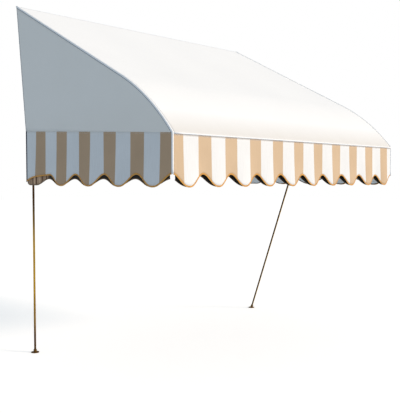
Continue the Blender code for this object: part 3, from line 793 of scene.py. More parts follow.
# %% The side view as one path
reach = BAR_OUT + INSET * math.sin(NOSE_PITCH)
fall = DROP - INSET * math.cos(NOSE_PITCH)
turn_out = math.sin(NOSE_PITCH) - math.sin(ROOF_PITCH)
turn_down = math.cos(ROOF_PITCH) - math.cos(NOSE_PITCH)
divisor = math.cos(ROOF_PITCH) * turn_down - math.sin(ROOF_PITCH) * turn_out
STRAIGHT = (reach * turn_down - fall * turn_out) / divisor
BEND_RADIUS = (fall * math.cos(ROOF_PITCH) - reach * math.sin(ROOF_PITCH)) / divisor
WRAP_END = math.acos((BEAD_RADIUS + FIT) / INSET)


def square_to(pitch):
    """The way out of a slope, square to it, as (out, up)."""
    return np.array([math.sin(pitch), math.cos(pitch)])


def roof_path(inset, start_out, end_angle=math.pi / 2, slope_steps=90, bend_steps=40, wrap_steps=10):
    """Points of the side view, their outward normals and the length along them."""
    slope = np.array([math.cos(ROOF_PITCH), -math.sin(ROOF_PITCH)])
    square = square_to(ROOF_PITCH)
    top = np.array([0.0, TOP])
    centre = top + slope * STRAIGHT - square * BEND_RADIUS
    first = top - square * inset
    start = (start_out - first[0]) / slope[0]
    points, normals = [], []
    for step in range(slope_steps):
        points.append(first + slope * (start + (STRAIGHT - start) * step / slope_steps))
        normals.append(square)
    for step in range(bend_steps + 1):
        angle = ROOF_PITCH + (NOSE_PITCH - ROOF_PITCH) * step / bend_steps
        normals.append(square_to(angle))
        points.append(centre + normals[-1] * (BEND_RADIUS - inset))
    for step in range(1, wrap_steps + 1):
        angle = NOSE_PITCH + (end_angle - NOSE_PITCH) * step / wrap_steps
        normals.append(square_to(angle))
        points.append(np.array([BAR_OUT, FRONT_Z]) + normals[-1] * (INSET - inset))
    points = np.array(points)
    return points, np.array(normals), run_along(points)


print("slope", round(STRAIGHT, 3), "m, bend radius", round(BEND_RADIUS, 3), "m")

# %% [markdown]
# ## Frame tubes
# The frame is 32 mm tube. The packed tubes have twelve flats, which is enough
# to fit the parts together, so round ones stand for them. Each end is cut as a
# fitter would cut it: every line along the tube runs on until it comes to the
# tube that it butts against, less the fit, or to the mitre of a corner. A tube
# cut in this way by sums needs no boolean, and its end line is ready for the
# weld.

# %% The cuts at a tube's ends
REAR_Z = FRONT_Z + RAIL_SLOPE * (BAR_OUT - REAR_OUT)
BORE = TUBE_RADIUS + FIT


def at(x, out, z):
    """A point told by its place along the head rail, its reach and its height."""
    return np.array([x, -out, z])


def cope(start, end):
    """Distance along lines, from a point and a heading, to a tube between two points."""
    axis = (end - start) / np.linalg.norm(end - start)

    def reach(points, heading):
        away = points - start
        away = away - np.outer(away @ axis, axis)
        aim = heading - (heading @ axis) * axis
        a, b, c = aim @ aim, away @ aim, np.sum(away * away, 1) - BORE ** 2
        inside = b * b - a * c
        return np.where(inside > 0, (-b - np.sqrt(np.maximum(inside, 0))) / a, np.inf)
    return reach


def mitre(corner, keep_x, keep_out):
    """Distance along lines to the mitre plane of a corner."""
    facing = np.array([keep_x, -keep_out, 0.0]) / math.sqrt(2)

    def reach(points, heading):
        return (FIT / 2 - (points - corner) @ facing) / (heading @ facing)
    return reach


def square_cut(point):
    """Distance along lines to the plane through a point, square to them."""
    def reach(points, heading):
        return (point - points) @ heading
    return reach


print("each cut clears the other tube by", FIT * 1000, "mm")

# %% Hollow tubes
TUBE_WALL, TUBE_SIDES = 0.0025, 40


def ring(point, heading, radius):
    """A circle of points round a place on a tube, square to its heading."""
    heading = heading / np.linalg.norm(heading)
    aside = np.array([0.0, 0.0, 1.0]) if abs(heading[0]) > 0.9 else np.array([1.0, 0.0, 0.0])
    other = np.cross(heading, aside)
    other /= np.linalg.norm(other)
    aside = np.cross(other, heading)
    angle = np.linspace(0, 2 * math.pi, TUBE_SIDES, endpoint=False)[:, None]
    return point + radius * (np.cos(angle) * aside + np.sin(angle) * other)


def tube(node, path, first_cuts, last_cuts):
    """A hollow tube along a path, each end cut by the nearest of several cuts. Gives its end lines."""
    path = np.array(path, float)
    headings = [path[1] - path[0], *(path[2:] - path[:-2]), path[-1] - path[-2]]
    shells = []
    for radius in (TUBE_RADIUS, TUBE_RADIUS - TUBE_WALL):
        rings = [ring(point, heading, radius) for point, heading in zip(path, headings)]
        for end, inner, cuts in ((0, 1, first_cuts), (-1, -2, last_cuts)):
            heading = path[end] - path[inner]
            heading = heading / np.linalg.norm(heading)
            run = np.min([cut(rings[inner], heading) for cut in cuts], axis=0)
            rings[end] = rings[inner] + run[:, None] * heading
        shells += rings if radius == TUBE_RADIUS else rings[::-1]
    grid = np.array(shells)
    rows = len(grid)
    index = np.arange(rows * TUBE_SIDES).reshape(rows, TUBE_SIDES)
    below, beside = np.roll(index, -1, 0), np.roll(index, -1, 1)
    quads = np.stack([index, beside, np.roll(below, -1, 1), below], -1).reshape(-1, 4)
    mesh = bpy.data.meshes.new(node + "_tube")
    mesh.from_pydata(grid.reshape(-1, 3).tolist(), [], quads.tolist())
    rework(mesh, face_out)
    mesh.set_sharp_from_angle(angle=BEVEL_ABOVE)
    mesh.materials.append(FRAME_PAINT)
    keep(put(node + "_tube", mesh), "frame_paint", node)
    return [shells[0], shells[len(path) - 1]]


def middle(start, end, count=3):
    """Evenly spaced points from one to another."""
    return [start + (end - start) * step / count for step in range(count + 1)]


print("tubes with", TUBE_SIDES, "sides and a wall of", TUBE_WALL * 1000, "mm")

# %% [markdown]
# ## The frame, tube by tube
# The order is a fitter's: the head rail at the back, the bar and the rear rail
# with their mitres, the four ribs, then the side rails and the uprights.
# The lines where an end meets another tube are kept for the welds. The last two
# rings of a rib stand well apart, so that its end has room for the cut.

# %% The tubes of the frame
CUT_ROOM = 0.05
corners = {side: (at(sign * SIDE_X, BAR_OUT, FRONT_Z), at(sign * SIDE_X, REAR_OUT, REAR_Z))
           for side, sign in HANDS}
head_line = cope(at(-1, HEAD_OUT, 0), at(1, HEAD_OUT, 0))
bar_line = cope(at(-1, BAR_OUT, FRONT_Z), at(1, BAR_OUT, FRONT_Z))
rear_line = cope(at(-1, REAR_OUT, REAR_Z), at(1, REAR_OUT, REAR_Z))
head_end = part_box("head_rail")[1].x
ends = at(-head_end, HEAD_OUT, 0), at(head_end, HEAD_OUT, 0)
tube("head_rail", middle(*ends), [square_cut(ends[0])], [square_cut(ends[1])])
for name, left_corner, right_corner, keep_out in (
    ("front_bar", corners["left"][0], corners["right"][0], 1.0),
    ("lower_rear_rail", corners["left"][1], corners["right"][1], -1.0),
):
    tube(name, middle(left_corner, right_corner),
         [mitre(left_corner, 1.0, keep_out)], [mitre(right_corner, -1.0, keep_out)])
rib_view, _, _ = roof_path(INSET, HEAD_OUT, slope_steps=4, bend_steps=24, wrap_steps=0)
far_enough = np.linalg.norm(rib_view - rib_view[-1], axis=1) > CUT_ROOM
rib_view = [*rib_view[far_enough], rib_view[-1]]
weld_loops = []
for name, x in zip(("left_end_rib", "rafter_1", "rafter_2", "right_end_rib"), RIBS):
    cuts = [bar_line]
    if "end" in name:
        cuts.append(cope(*corners[name.split("_")[0]]))
    weld_loops += tube(name, [at(x, out, z) for out, z in rib_view], [head_line], cuts)
for side, sign in HANDS:
    front_corner, rear_corner = corners[side]
    weld_loops += tube(side + "_side_rail", middle(front_corner, rear_corner),
                       [mitre(front_corner, sign, -1.0)], [mitre(rear_corner, sign, 1.0)])
    rib_slope = cope(at(sign * SIDE_X, *rib_view[0]), at(sign * SIDE_X, *rib_view[1]))
    weld_loops += tube(side + "_upright", middle(at(sign * SIDE_X, HEAD_OUT, 0), rear_corner),
                       [head_line, rib_slope], [rear_line, cope(front_corner, rear_corner)])

# %% [markdown]
# ## Poles
# Each pole is one straight brass rod between a socket under the side rail and
# one in its foot. The packed pole has flats, so a rounder rod of the same size
# stands for it. A cylinder turned into place would do, but a rod swept like the
# cords has a map round and along it, which the painted shade and highlight of
# the right one need.

# %% Poles
SADDLE_DROP, FOOT_THICKNESS, POLE_SIDES = 0.020, 0.006, 48
LEFT_OUT, RIGHT_HEAD_OUT, RIGHT_FOOT_OUT = 0.240, 1.010, 0.290


def pole(side, x, head_out, foot_out, metal):
    """A round pole between its socket under the rail and the one in its foot."""
    head = at(x, head_out, FRONT_Z + RAIL_SLOPE * (BAR_OUT - head_out))
    foot = at(x, foot_out, GROUND_Z)
    lean = (head - foot) / np.linalg.norm(head - foot)
    low = foot + lean * (FOOT_THICKNESS / 2 + POLE_RADIUS * abs(lean[1])) / lean[2]
    high = head - lean * (TUBE_RADIUS + SADDLE_DROP / 2 + FIT)
    piece = round_cord(side + "_round_pole", middle(low, high, 24), POLE_RADIUS, metal, POLE_SIDES)
    piece.data.set_sharp_from_angle(angle=BEVEL_ABOVE)
    keep(piece, "brass", side + "_pole")
    return np.linalg.norm(high - low)


lengths = [pole("left", -SIDE_X, LEFT_OUT, LEFT_OUT, POLISHED_BRASS),
           pole("right", SIDE_X, RIGHT_HEAD_OUT, RIGHT_FOOT_OUT, BRASS_PAINTED_SHADE)]
print("poles:", [round(float(length), 3) for length in lengths], "m long")

# %% [markdown]
# ## Welds
# A hand weld is a row of small overlapping scales along the joint. Where the
# canvas lies over a joint the weld is ground flush, so those points are left
# out of the line before the node group sets its scales along it.

# %% Weld beads along the joints
CLEAR_OF_CLOTH = 0.0062
SCALES = {"Pitch": 0.0017, "Length": 0.0030, "Radius": 0.0024, "Uneven": 0.10}


def hidden_by_cloth(point):
    """Whether a weld here would stand into the roof, a wing or a strip."""
    x, out, z = point[0], -point[1], point[2]
    below_slope = -np.dot([out, z - TOP], square_to(ROOF_PITCH))
    inside_nose = INSET - np.dot([out - BAR_OUT, z - FRONT_Z], square_to(NOSE_PITCH))
    return (abs(x) > WIDTH / 2 - CLEAR_OF_CLOTH or out > PROJECTION - CLEAR_OF_CLOTH
            or below_slope < CLEAR_OF_CLOTH or inside_nose < CLEAR_OF_CLOTH)


weld_lines = []
for loop in weld_loops:
    shown = [not hidden_by_cloth(point) for point in loop]
    first = next((i for i in range(len(loop)) if shown[i] and not shown[i - 1]), 0)
    runs = [[]]
    for step in range(len(loop) + all(shown)):
        spot = (first + step) % len(loop)
        if shown[spot]:
            runs[-1].append(loop[spot])
        else:
            runs.append([])
    weld_lines += [run for run in runs if len(run) > 2]
welds = keep(grow("weld_beads", BEADS, weld_lines, Seed=7, Paint=FRAME_PAINT, **SCALES), "frame_paint")
print("weld runs:", len(weld_lines), "faces:", len(welds.data.polygons))

# %% [markdown]
# ## Roof
# The roof is one piece of canvas from the back to the seam under the front bar.
# It could be modelled as panels between the ribs, but real cloth runs over them
# in one sheet, so the side view is swept across the whole width. Between the
# ribs the sheet sinks a few millimetres.

# %% The roof canvas
SAG, ROOF_COLUMNS, LAST_SAG = 0.006, 121, -12
side_view, outward, along_roof = roof_path(0.0, BACK_GAP, WRAP_END)
half_roof = WIDTH / 2 - TRIM
columns = np.linspace(-half_roof, half_roof, ROOF_COLUMNS)
supports = np.array(RIBS)
bay = np.clip(np.searchsorted(supports, columns) - 1, 0, 2)
across = np.clip((columns - supports[bay]) / (supports[bay + 1] - supports[bay]), 0, 1)
down = np.clip(along_roof / along_roof[LAST_SAG], 0, 1)
hollow = SAG * np.outer(np.sin(math.pi * down) ** 0.8, np.sin(math.pi * across) ** 2)
grid = np.empty((len(side_view), len(columns), 3))
grid[:, :, 0] = columns
grid[:, :, 1] = -(side_view[:, 0, None] - outward[:, 0, None] * hollow)
grid[:, :, 2] = side_view[:, 1, None] - outward[:, 1, None] * hollow
flat_spots = flat_map(-along_roof, columns + WIDTH / 2)[..., ::-1]
roof = skin("roof_canvas", grid, flat_spots, [ROOF_CLOTH, REVERSE])
keep(roof, "canvas_white", "roof_cover")

# %% [markdown]
# ## Wings
# The cheeks are flat pieces held to the end ribs by tabs. They are cut to the
# roof's own curve, less the width of the piping. One flat face would do for
# the outline, but cloth bellies a little, so a grid is drawn between the curved
# edge and the seam below, and closes to a point at the nose.

# %% The two wings
top_edge, _, top_length = roof_path(TRIM, BACK_GAP, slope_steps=40, bend_steps=24, wrap_steps=6)
top_edge[-1] = (top_edge[-1][0], seam_z(top_edge[-1][0]) + FIT / 2)
share = top_length / top_length[-1]
low_edge = np.stack([STAND_OFF + (top_edge[-1][0] - STAND_OFF) * share, share], 1)
low_edge[:, 1] = seam_z(low_edge[:, 0]) + FIT / 2
WING_ROWS, BILLOW = 26, 0.004


def wing(side, sign):
    steps = np.linspace(0, 1, WING_ROWS)
    plane = top_edge[None] + (low_edge - top_edge)[None] * steps[:, None, None]
    belly = BILLOW * np.outer(np.sin(math.pi * steps), np.sin(math.pi * share) ** 1.3)
    points = np.stack([sign * (WIDTH / 2 + belly), -plane[..., 0], plane[..., 1]], -1)
    if sign > 0:
        points, plane = points[:, ::-1], plane[:, ::-1]
    piece = skin(side + "_wing_canvas", points, plane, [WING_CLOTH, REVERSE])
    rework(piece.data, join_points)
    return keep(piece, "canvas_white", side + "_wing")


wings = {side: wing(side, sign) for side, sign in HANDS}
print("wing cloth", round(sheet_area(wings["left"]), 3), "square metres")

# %% [markdown]
# ## Scalloped strips
# Below the front bar and each side rail hangs a striped strip. Its lower edge
# is a wave of wide round drops and narrower arches, bound with gold tape. It
# could be drawn point by point, but a cosine raised to a power gives every drop
# and arch from three numbers. Each drop swings out a little, as a hanging
# tongue of cloth does. Behind it hangs a black lining, whose black is painted
# shade: it shows as a dark crescent beside each drop.

# %% The scalloped edge
def wave(along, repeat):
    """How far the edge lies above its lowest points, with an arch at each corner."""
    return SCALLOP_DEPTH * (0.5 + 0.5 * np.cos(2 * math.pi * along / repeat)) ** SHARPNESS


def drop_swing(along, repeat, share):
    """How far the cloth stands out: nothing at the seam, most at the tip of a drop."""
    return SWING * (0.5 - 0.5 * np.cos(2 * math.pi * along / repeat)) * share ** 1.5


def front_place(along, swing, z):
    return np.stack([along - WIDTH / 2, -(PROJECTION + swing), z], -1)


def side_place(sign):
    def place(along, swing, z):
        return np.stack([sign * (WIDTH / 2 + swing), along - PROJECTION, z], -1)
    return place


print("drops:", round(FRONT_REPEAT, 3), "m wide in front and", round(SIDE_REPEAT, 3), "m on the sides")

# %% [markdown]
# ## How a strip is told
# Front, left and right differ in a few functions of the distance along the
# strip: where it starts and ends, its lower edge, its swing and its top. One
# record holds them, and the same two builders sew every strip and its tape.

# %% Builders for strips and bindings
Hung = namedtuple("Hung", "side start end repeat place edge swing top flip")
ROWS, PER_SCALLOP, TUCKED = 14, 26, 0.4
BAND = [(1.00, 0.15), (0.96, 0.95), (0.20, 1.10), (0.02, 0.95), (-0.07, 0.3), (-0.09, -1.0),
        (-0.07, -2.3), (0.02, -2.95), (0.20, -3.10), (0.96, -2.95), (1.00, -2.15)]
BAND_STEP = 0.002


def stops_along(hung):
    """The places along a strip where its columns stand."""
    count = round((hung.end - hung.start) / hung.repeat * PER_SCALLOP)
    return np.linspace(hung.start, hung.end, count + 1)


def edge_line(hung, stops, inset):
    """The edge moved square to itself into the cloth by inset: how far along, and how high."""
    step = hung.repeat / 400
    slope = (hung.edge(stops + step) - hung.edge(stops - step)) / (2 * step)
    length = np.hypot(slope, 1.0)
    along = np.clip(stops - slope / length * inset, hung.start, hung.end)
    return along, hung.edge(stops) + inset / length


def binding(name, hung, width, material, sheet=SHEET):
    """A folded tape round the edge. BAND is its section: share of the width, and mm proud."""
    stops, loop = stops_along(hung), []
    for depth, proud in BAND:
        if proud <= -1:
            proud += 1000 * (SHEET - sheet)
        along, rise = edge_line(hung, stops, depth * width)
        loop.append(hung.place(along, hung.swing(stops, 1.0) + proud / 1000, BOTTOM_Z + rise))
    points = np.stack(loop, 1)
    spots = flat_map(run_along(points[:, 0]), np.arange(len(BAND)) * BAND_STEP)
    return solid(name, points, spots, material)


def strip(name, hung, materials, thickness=SHEET):
    """A hanging strip: straight at the top, scalloped below, with the swing of the cloth."""
    stops = stops_along(hung)
    along, rise = edge_line(hung, stops, BINDING_WIDTH * TUCKED)
    head = hung.top(stops) - BOTTOM_Z
    points, spots = [], []
    for share in np.arange(ROWS + 1) / ROWS:
        x = stops + (along - stops) * share
        z = head + (rise - head) * share
        points.append(hung.place(x, hung.swing(x, share), BOTTOM_Z + z))
        spots.append(np.stack([x, z], -1))
    if hung.flip:
        points, spots = [row[::-1] for row in points], [row[::-1] for row in spots]
    return skin(name, points, spots, materials, thickness)


def flat_area(hung):
    """Area of the cloth before it was hung, by summing its columns."""
    stops = stops_along(hung)
    tall = hung.top(stops) - BOTTOM_Z - hung.edge(stops)
    return float(np.sum((tall[1:] + tall[:-1]) / 2 * np.diff(stops)))


def tell(hung, what):
    print(hung.side, what, round(hung.end - hung.start, 3), "m wide,", round(flat_area(hung), 3), "m2")


print("a strip has", ROWS, "rows and", PER_SCALLOP, "columns to a drop")

# %% [markdown]
# ## The striped strips
# The front strip is even from corner to corner. On the sides the last drop by
# the back is turned up towards its free end, and the top edge laps over the
# wing, so the sides have functions of their own.

# %% The striped strips with their gold bindings
LAP_RISE, LAP = 0.0009, 0.004


def front_edge(along):
    return wave(along, FRONT_REPEAT)


def side_edge(along):
    """The wave, but the last drop, at the back, is turned up towards its free end."""
    last_arch = RUN - SIDE_REPEAT
    past = np.clip((along - last_arch) / SIDE_REPEAT, 0, 1)
    lifted = SCALLOP_DEPTH * (1 - 0.30 * past - 0.34 * past ** 5)
    return np.where(along < last_arch, wave(along, SIDE_REPEAT), lifted)


def front_swing(along, share):
    return drop_swing(along, FRONT_REPEAT, share)


def side_swing(along, share):
    """As on the front, and the top edge laps over the wing by the thickness of a seam."""
    return LAP_RISE + drop_swing(along, SIDE_REPEAT, share)


def front_top(along):
    return np.full_like(along, FRONT_Z - BEAD_RADIUS - FIT)


def side_top(along):
    return seam_z(PROJECTION - along) + LAP


STRIPS = [Hung("front", TRIM, WIDTH - TRIM, FRONT_REPEAT, front_place, front_edge, front_swing,
               front_top, False)]
STRIPS += [Hung(side, TRIM, RUN, SIDE_REPEAT, side_place(sign), side_edge, side_swing, side_top, sign < 0)
           for side, sign in HANDS]
strips, bands = {}, {}
for hung in STRIPS:
    side, cloth = hung.side, FRONT_STRIPES if hung.side == "front" else SIDE_STRIPES_PAINTED_SHADE
    strips[side] = keep(strip(side + "_strip", hung, [cloth]), "canvas_striped", side + "_valance")
    bands[side] = keep(binding(side + "_binding_tape", hung, BINDING_WIDTH, GOLD_TAPE),
                       "binding_gold", side + "_binding")
    tell(hung, "strip")

# %% [markdown]
# ## Lining
# The lining behind each strip is black towards the stripes, as painted shade
# for the inside of the awning, and pale on the inside. A dark reverse on the
# strip itself would be simpler, but the crescents show only because the lining
# hangs apart from it. On the front it is screwed to the back of the bar, so it
# hangs some way behind the stripes and swings forward only at the tips. On the
# sides the poles come down under the rail, so there the lining is sewn to the
# strip itself, below the saddles, and stays outside the poles. Its scallops are
# shallower and stand a little to one side, as two cloths cut by hand do. At the
# back its last drop keeps the full tongue that the striped cloth has lost.

# %% Linings behind the strips
LINING_SHEET, LINING_TAPE, HEM_RISE, HEM = 0.0012, 0.008, 0.007, 0.003
LINING_BACK, LINING_SWING = 0.0385, 0.0475
SEWN_BELOW, SEWN_GAP, LINING_HANG = 0.068, 0.0004, 0.0034
FRONT_SHIFT, SIDE_SHIFT, FRONT_SHALLOW, SIDE_SHALLOW = -0.010, 0.018, 0.86, 0.60
FRONT_MARGIN, LINING_START, LINING_END = 0.048, 0.030, RUN - 0.012
ROUNDED, ROUND_RISE = 0.06, 0.022
LINING_SCREWS = {"Pitch": 0.19, "Radius": 0.0042, "Facing": (0.0, 1.0, 0.0)}
SCREW_MARGIN, SCREW_OFF = 0.04, 0.0006


def front_lining_swing(along, share):
    drop = 0.5 - 0.5 * np.cos(2 * math.pi * (along - FRONT_SHIFT) / FRONT_REPEAT)
    return LINING_SWING * drop ** 1.6 * share ** 2 - LINING_BACK


def side_lining_swing(along, share):
    """Just behind the striped cloth, from the seam where it is sewn on."""
    return side_swing(along, 0.16 + 0.84 * share) - SHEET - SEWN_GAP - LINING_HANG * share


def front_lining_top(along):
    return np.full_like(along, FRONT_Z + HEM_RISE)


def side_lining_top(along):
    return seam_z(PROJECTION - along) - SEWN_BELOW


def front_lining_edge(along):
    return FRONT_SHALLOW * wave(along - FRONT_SHIFT, FRONT_REPEAT) + HEM


def side_lining_edge(along):
    """A shallower wave. Past the last tip it only rounds off at the free end."""
    corner = np.clip((along - LINING_END + ROUNDED) / ROUNDED, 0, 1)
    inner = np.minimum(along - SIDE_SHIFT, RUN - 0.55 * SIDE_REPEAT)
    return SIDE_SHALLOW * wave(inner, SIDE_REPEAT) + HEM + ROUND_RISE * corner ** 3


LININGS = [Hung("front", FRONT_MARGIN, WIDTH - FRONT_MARGIN, FRONT_REPEAT, front_place,
                front_lining_edge, front_lining_swing, front_lining_top, False)]
LININGS += [Hung(side, LINING_START, LINING_END, SIDE_REPEAT, side_place(sign),
                 side_lining_edge, side_lining_swing, side_lining_top, sign < 0) for side, sign in HANDS]
linings, lining_trims = {}, {}
for hung in LININGS:
    side, cloth = hung.side, BLACK_LINING_PAINTED_SHADE if hung.side == "front" else SIDE_LINING_PAINTED_SHADE
    linings[side] = keep(strip(side + "_lining", hung, [cloth, REVERSE], LINING_SHEET))
    band = keep(binding(side + "_lining_tape", hung, LINING_TAPE, BROWN_TAPE, LINING_SHEET))
    if side == "front":
        head = np.linspace(hung.start + SCREW_MARGIN, hung.end - SCREW_MARGIN, 60)
        back = np.full_like(head, -LINING_BACK - LINING_SHEET - SCREW_OFF)
        line = hung.place(head, back, hung.top(head) - HEM_RISE)
        fixing = keep(grow("front_lining_screws", SCREWS, [line], Paint=PLUG_PLASTIC, **LINING_SCREWS))
    else:
        stops = stops_along(hung)
        behind = hung.swing(stops, 0.02) - LINING_SHEET - LIFT
        line = hung.place(stops, behind, hung.top(stops) - HEM_RISE)
        fixing = stitch(side + "_lining_stitches", [line], WHITE_THREAD, 5)
    lining_trims[side] = [band, fixing]
    tell(hung, "lining")

# %% [markdown]
# ## Piping
# A white cord in a folded strip of canvas covers the seam of roof and wing and
# runs on down the front corner. A thinner one closes the seam under the front
# bar. A curve with a round bevel would do too, but the sweep keeps the weave to
# scale. The corner cords follow the roof's own side view, so they stay on the
# seam.

# %% Piping down the corners and the bead along the front
PIPE_RADIUS, PIPE_INSET, FAT_BEAD = 0.0082, 0.0022, 0.0052
pipe_view, _, _ = roof_path(PIPE_INSET, BACK_GAP, slope_steps=30, bend_steps=30, wrap_steps=8)
for side, sign in HANDS:
    run = [(sign * (WIDTH / 2 - PIPE_INSET), -out, z) for out, z in pipe_view]
    for z in np.linspace(FRONT_Z, ARCH_Z, 8)[1:]:
        run.append((run[-1][0], -(PROJECTION - PIPE_INSET), z))
    cord = round_cord(side + "_corner_piping", run, PIPE_RADIUS, PIPING)
    keep(cord, "piping_white", side + "_piping")
bead_out = PROJECTION - SHEET + BEAD_RADIUS
run = [(x, -bead_out, FRONT_Z) for x in np.linspace(-half_roof, half_roof, 40)]
bead = keep(round_cord("front_seam_bead", run, FAT_BEAD, PIPING), "piping_white", "front_bead")
print("piping", round(float(run_along(pipe_view)[-1]), 3), "m from the back to the corner, bead",
      round(2 * half_roof, 3), "m")

# %% [markdown]
# ## Edge tapes
# A narrow slate tape covers the raw edges of the wings, and a wider dark one
# those of the side strips at the back. Along the wing's curved edge the slate
# is painted shade, the shade line beside the piping. They could be bands in
# the finish of the cloth, but a ribbon laid on it, a little over half a
# millimetre thick, has an edge that catches the light.

# %% Slate tapes on the free edges
TAPE_WIDTH, REAR_TAPE_WIDTH, TAPE_RISE, TAPE_SEAM = 0.0055, 0.020, 0.0007, 0.75


def ribbon(name, path, inward, facing, width, material):
    """A tape along a path, inward from it by its width and proud of the cloth."""
    path, inward = np.asarray(path, float), np.broadcast_to(inward, (len(path), 3))
    facing = np.asarray(facing, float)
    steps = np.linspace(0, 1, 3)
    points = path[:, None] + inward[:, None] * (steps * width)[None, :, None] + facing * TAPE_RISE
    spots = flat_map(run_along(path), steps * width)
    turn = np.cross(points[1, 0] - points[0, 0], points[0, 1] - points[0, 0])
    if turn @ facing < 0:
        points, spots = points[:, ::-1], spots[:, ::-1]
    return keep(skin(name, points, spots, [material], thickness=TAPE_RISE * 0.9))


edge_tapes, tape_lines = {"left": [], "right": []}, {"left": [], "right": []}
steps_in = np.gradient(top_edge, axis=0)
steps_in /= np.linalg.norm(steps_in, axis=1)[:, None]
for side, sign in HANDS:
    facing = (sign, 0.0, 0.0)
    curve = [at(sign * WIDTH / 2, out, z) for out, z in top_edge[:-4]]
    square_in = [at(0.0, step[1], -step[0]) for step in steps_in[:-4]]
    slant = low_edge[0] - top_edge[0]
    slant = slant / np.linalg.norm(slant)
    rear = [at(sign * WIDTH / 2, out, z) for out, z in np.linspace(top_edge[0], low_edge[0], 40)]
    tip_z = BOTTOM_Z + float(side_edge(np.array([RUN]))[0])
    strip_rear = [at(sign * (WIDTH / 2 + LAP_RISE), STAND_OFF, z)
                  for z in np.linspace(seam_z(STAND_OFF) + LAP, tip_z, 12)]
    for name, path, inward, width, cloth in (
        # Along the curve this slate tape is painted shade beside the piping.
        ("_wing_edge_tape", curve, square_in, TAPE_WIDTH, SLATE_TAPE_AND_SHADE_LINE),
        ("_wing_rear_tape", rear, at(0.0, -slant[1], slant[0]), TAPE_WIDTH, SLATE_TAPE_AND_SHADE_LINE),
        ("_strip_rear_tape", strip_rear, at(0.0, 1.0, 0.0), REAR_TAPE_WIDTH, DARK_TAPE),
    ):
        edge_tapes[side].append(ribbon(side + name, path, inward, facing, width, cloth))
        tape_lines[side].append(np.asarray(path) + np.asarray(inward) * width * TAPE_SEAM
                                + np.array(facing) * (TAPE_RISE + LIFT))
print("edge tapes:", sum(len(tapes) for tapes in edge_tapes.values()))

# %% [markdown]
# ## Tabs that hold the canvas to the frame
# Seen from below, webbing tabs go round each rafter and end rib and are sewn
# flat to the canvas on both sides. A flat patch across the tube would do from
# far off, but not from below. Their section is worked out in the plane square
# to the tube: along the cloth, down a tangent, round the tube and back.

# %% Webbing tabs
TAB_WIDTH, TAB_SHEET, TAB_LEG, TAB_START = 0.025, 0.0012, 0.052, 0.027
TABS_PER_RIB, FIRST_TAB, LAST_TAB = 5, 0.28, 0.30
TAB_RADIUS = TUBE_RADIUS + TAB_SHEET
CLOTH_UNDER = INSET - SHEET - TAB_SHEET / 2 - 0.0001


def tab_section(corner):
    """The section as (beside, above) points; a corner tab goes from the roof to a wing."""
    distance = math.hypot(TAB_START, CLOTH_UNDER)
    touch = math.atan2(CLOTH_UNDER, TAB_START) - math.acos(TAB_RADIUS / distance)
    last = -math.pi / 2 - touch if corner else -math.pi - touch
    arc = [(TAB_RADIUS * math.cos(a), TAB_RADIUS * math.sin(a)) for a in np.linspace(touch, last, 14)]
    start = [(b, CLOTH_UNDER) for b in np.linspace(TAB_LEG, TAB_START, 5)]
    mirror = [(-a, -b) for b, a in start[::-1]] if corner else [(-b, a) for b, a in start[::-1]]
    return start + arc + mirror


tab_rows, tab_stitches = [], []
rib_line, rib_normal, rib_run = roof_path(INSET, HEAD_OUT, slope_steps=60, bend_steps=30, wrap_steps=0)
across_steps = np.linspace(-0.5, 0.5, 5) * TAB_WIDTH
for x, corner, sign in zip(RIBS, (True, False, False, True), (1.0, 1.0, 1.0, -1.0)):
    for place in np.linspace(FIRST_TAB, rib_run[-1] - LAST_TAB, TABS_PER_RIB):
        spot = int(np.argmin(np.abs(rib_run - place)))
        above = at(0.0, *rib_normal[spot])
        ahead = at(0.0, rib_normal[spot][1], -rib_normal[spot][0])
        beside = np.array([sign, 0.0, 0.0])
        axis_point = at(x, *rib_line[spot])
        section = [axis_point + b * beside + a * above for b, a in tab_section(corner)]
        points = np.array([[point + ahead * step for step in across_steps] for point in section])
        tab_rows.append(points[:, ::-1] if sign > 0 else points)
        for leg, away in ((points[:4], -above), (points[-4:], beside if corner else -above)):
            leg = leg + away * (TAB_SHEET / 2 + LIFT)
            box = [leg[0, 1], leg[0, -2], leg[-1, -2], leg[-1, 1]]
            tab_stitches += [[box[i], box[(i + 1) % 4]] for i in range(4)]
            tab_stitches += [[box[0], box[2]], [box[1], box[3]]]
count = len(tab_rows[0])
spots = np.stack(np.meshgrid(np.linspace(0, TAB_WIDTH, 5), np.linspace(0, 0.2, count)), -1)
tabs = [keep(skin(f"rib_tab_{number + 1}", points, spots, [WEBBING], TAB_SHEET, offset=0.0))
        for number, points in enumerate(tab_rows)]
print("tabs:", len(tabs))

# %% [markdown]
# ## Stitches
# Every seam is topstitched. A dashed line in the finish would be lighter, but
# it would cast no shadow. The lines come from the sewn pieces themselves, a
# hair above their surface, and the bead tool lays a thread of short stitches
# along each of them.

# %% Stitch rows
PER_DROP = 40
HEAD_ROWS, PIPING_ROWS, SEWN_AT = (0.0035, 0.0110), (0.006, 0.012), 0.72
BAND_FRONT, BAND_BACK = 0.00115, -0.0031
seams = {}
for hung in STRIPS:
    stops = np.linspace(hung.start, hung.end, round((hung.end - hung.start) / hung.repeat * PER_DROP))
    along, rise = edge_line(hung, stops, BINDING_WIDTH * SEWN_AT)
    rows = [hung.place(along, hung.swing(stops, 1.0) + proud, BOTTOM_Z + rise)
            for proud in (BAND_FRONT + LIFT, BAND_BACK - LIFT)]
    seams[hung.side + "_binding_stitches"] = (rows, GOLD_THREAD)
    head_rows = []
    for fall in HEAD_ROWS:
        swing = hung.swing(stops, fall / (hung.top(stops) - BOTTOM_Z))
        head_rows.append(hung.place(stops, swing + LIFT, hung.top(stops) - fall))
    seams[hung.side + "_head_stitches"] = (head_rows, WHITE_THREAD)
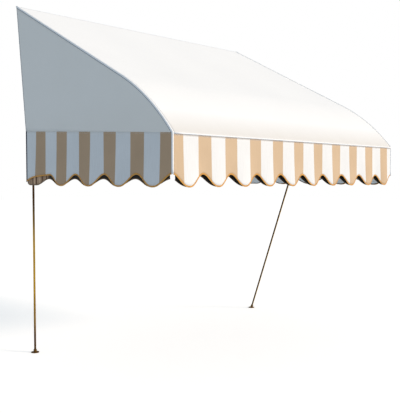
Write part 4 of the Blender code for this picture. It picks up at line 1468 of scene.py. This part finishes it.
for side, sign in HANDS:
    rows = []
    for beside in PIPING_ROWS:
        x = np.full(len(side_view) - 4, sign * (half_roof - beside))
        line = side_view[:-4] + outward[:-4] * LIFT
        rows.append(np.stack([x, -line[:, 0], line[:, 1]], -1))
    seams[side + "_piping_stitches"] = (rows, WHITE_THREAD)
    seams[side + "_tape_stitches"] = (tape_lines[side], BLACK_THREAD)
seams["tab_stitches"] = (tab_stitches, WHITE_THREAD)
sewn = {}
for name, (rows, colour) in seams.items():
    sewn[name] = stitch(name, rows, colour, len(sewn))
    print(name, len(sewn[name].data.polygons), "faces")

# %% [markdown]
# ## Floor
# The floor is a plain pale plane under the feet of the poles. Seen from below
# it is clear, so that a low view still shows the awning.

# %% Floor
FLOOR, FLOOR_GLOW, FLOOR_COLOR = 40.0, 0.34, (0.90, 0.86, 0.81, 1.0)
floor_mesh = bpy.data.meshes.new("floor")
floor_corners = [(-FLOOR, -FLOOR), (FLOOR, -FLOOR), (FLOOR, FLOOR), (-FLOOR, FLOOR)]
floor_mesh.from_pydata([(x, y, GROUND_Z) for x, y in floor_corners], [], [(0, 1, 2, 3)])
floor = put("floor", floor_mesh)
pale = Finish("floor_pale")
matt = pale.node("ShaderNodeBsdfDiffuse", inputs={"Color": FLOOR_COLOR})
glow = pale.node("ShaderNodeEmission", inputs={"Strength": FLOOR_GLOW})
both = pale.node("ShaderNodeAddShader", inputs={0: matt, 1: glow})
clear = pale.node("ShaderNodeBsdfTransparent")
under = pale.node("ShaderNodeNewGeometry", output=6)
one_sided = pale.node("ShaderNodeMixShader", inputs={0: under, 1: both, 2: clear})
pale.node("ShaderNodeOutputMaterial", inputs={"Surface": one_sided})
floor_mesh.materials.append(pale.material)
floor.visible_diffuse = False
print("floor at", round(GROUND_Z, 3), "m, the front seam at", round(FRONT_Z, 3), "m")

# %% [markdown]
# ## The sheets as they were cut
# For each strip and its lining, the height it was cut to, the pieces sewn to it
# and its flat area are worked out.

for hung, behind in zip(STRIPS, LININGS):
    side = hung.side
    tall = VALANCE_DEPTH + (0.0 if side == "front" else RAIL_RISE)
    trims = [bands[side], sewn[side + "_binding_stitches"], sewn[side + "_head_stitches"]]
    trims += edge_tapes[side][2:] if side != "front" else []
    flat_area(hung)
    tall += HEM_RISE if side == "front" else -SEWN_BELOW
    flat_area(behind)
print("sheets declared:", 1 + len(wings) + len(strips) + len(linings))

# %% [markdown]
# The dressed awning may stand out of the bare one by no more than its trim.
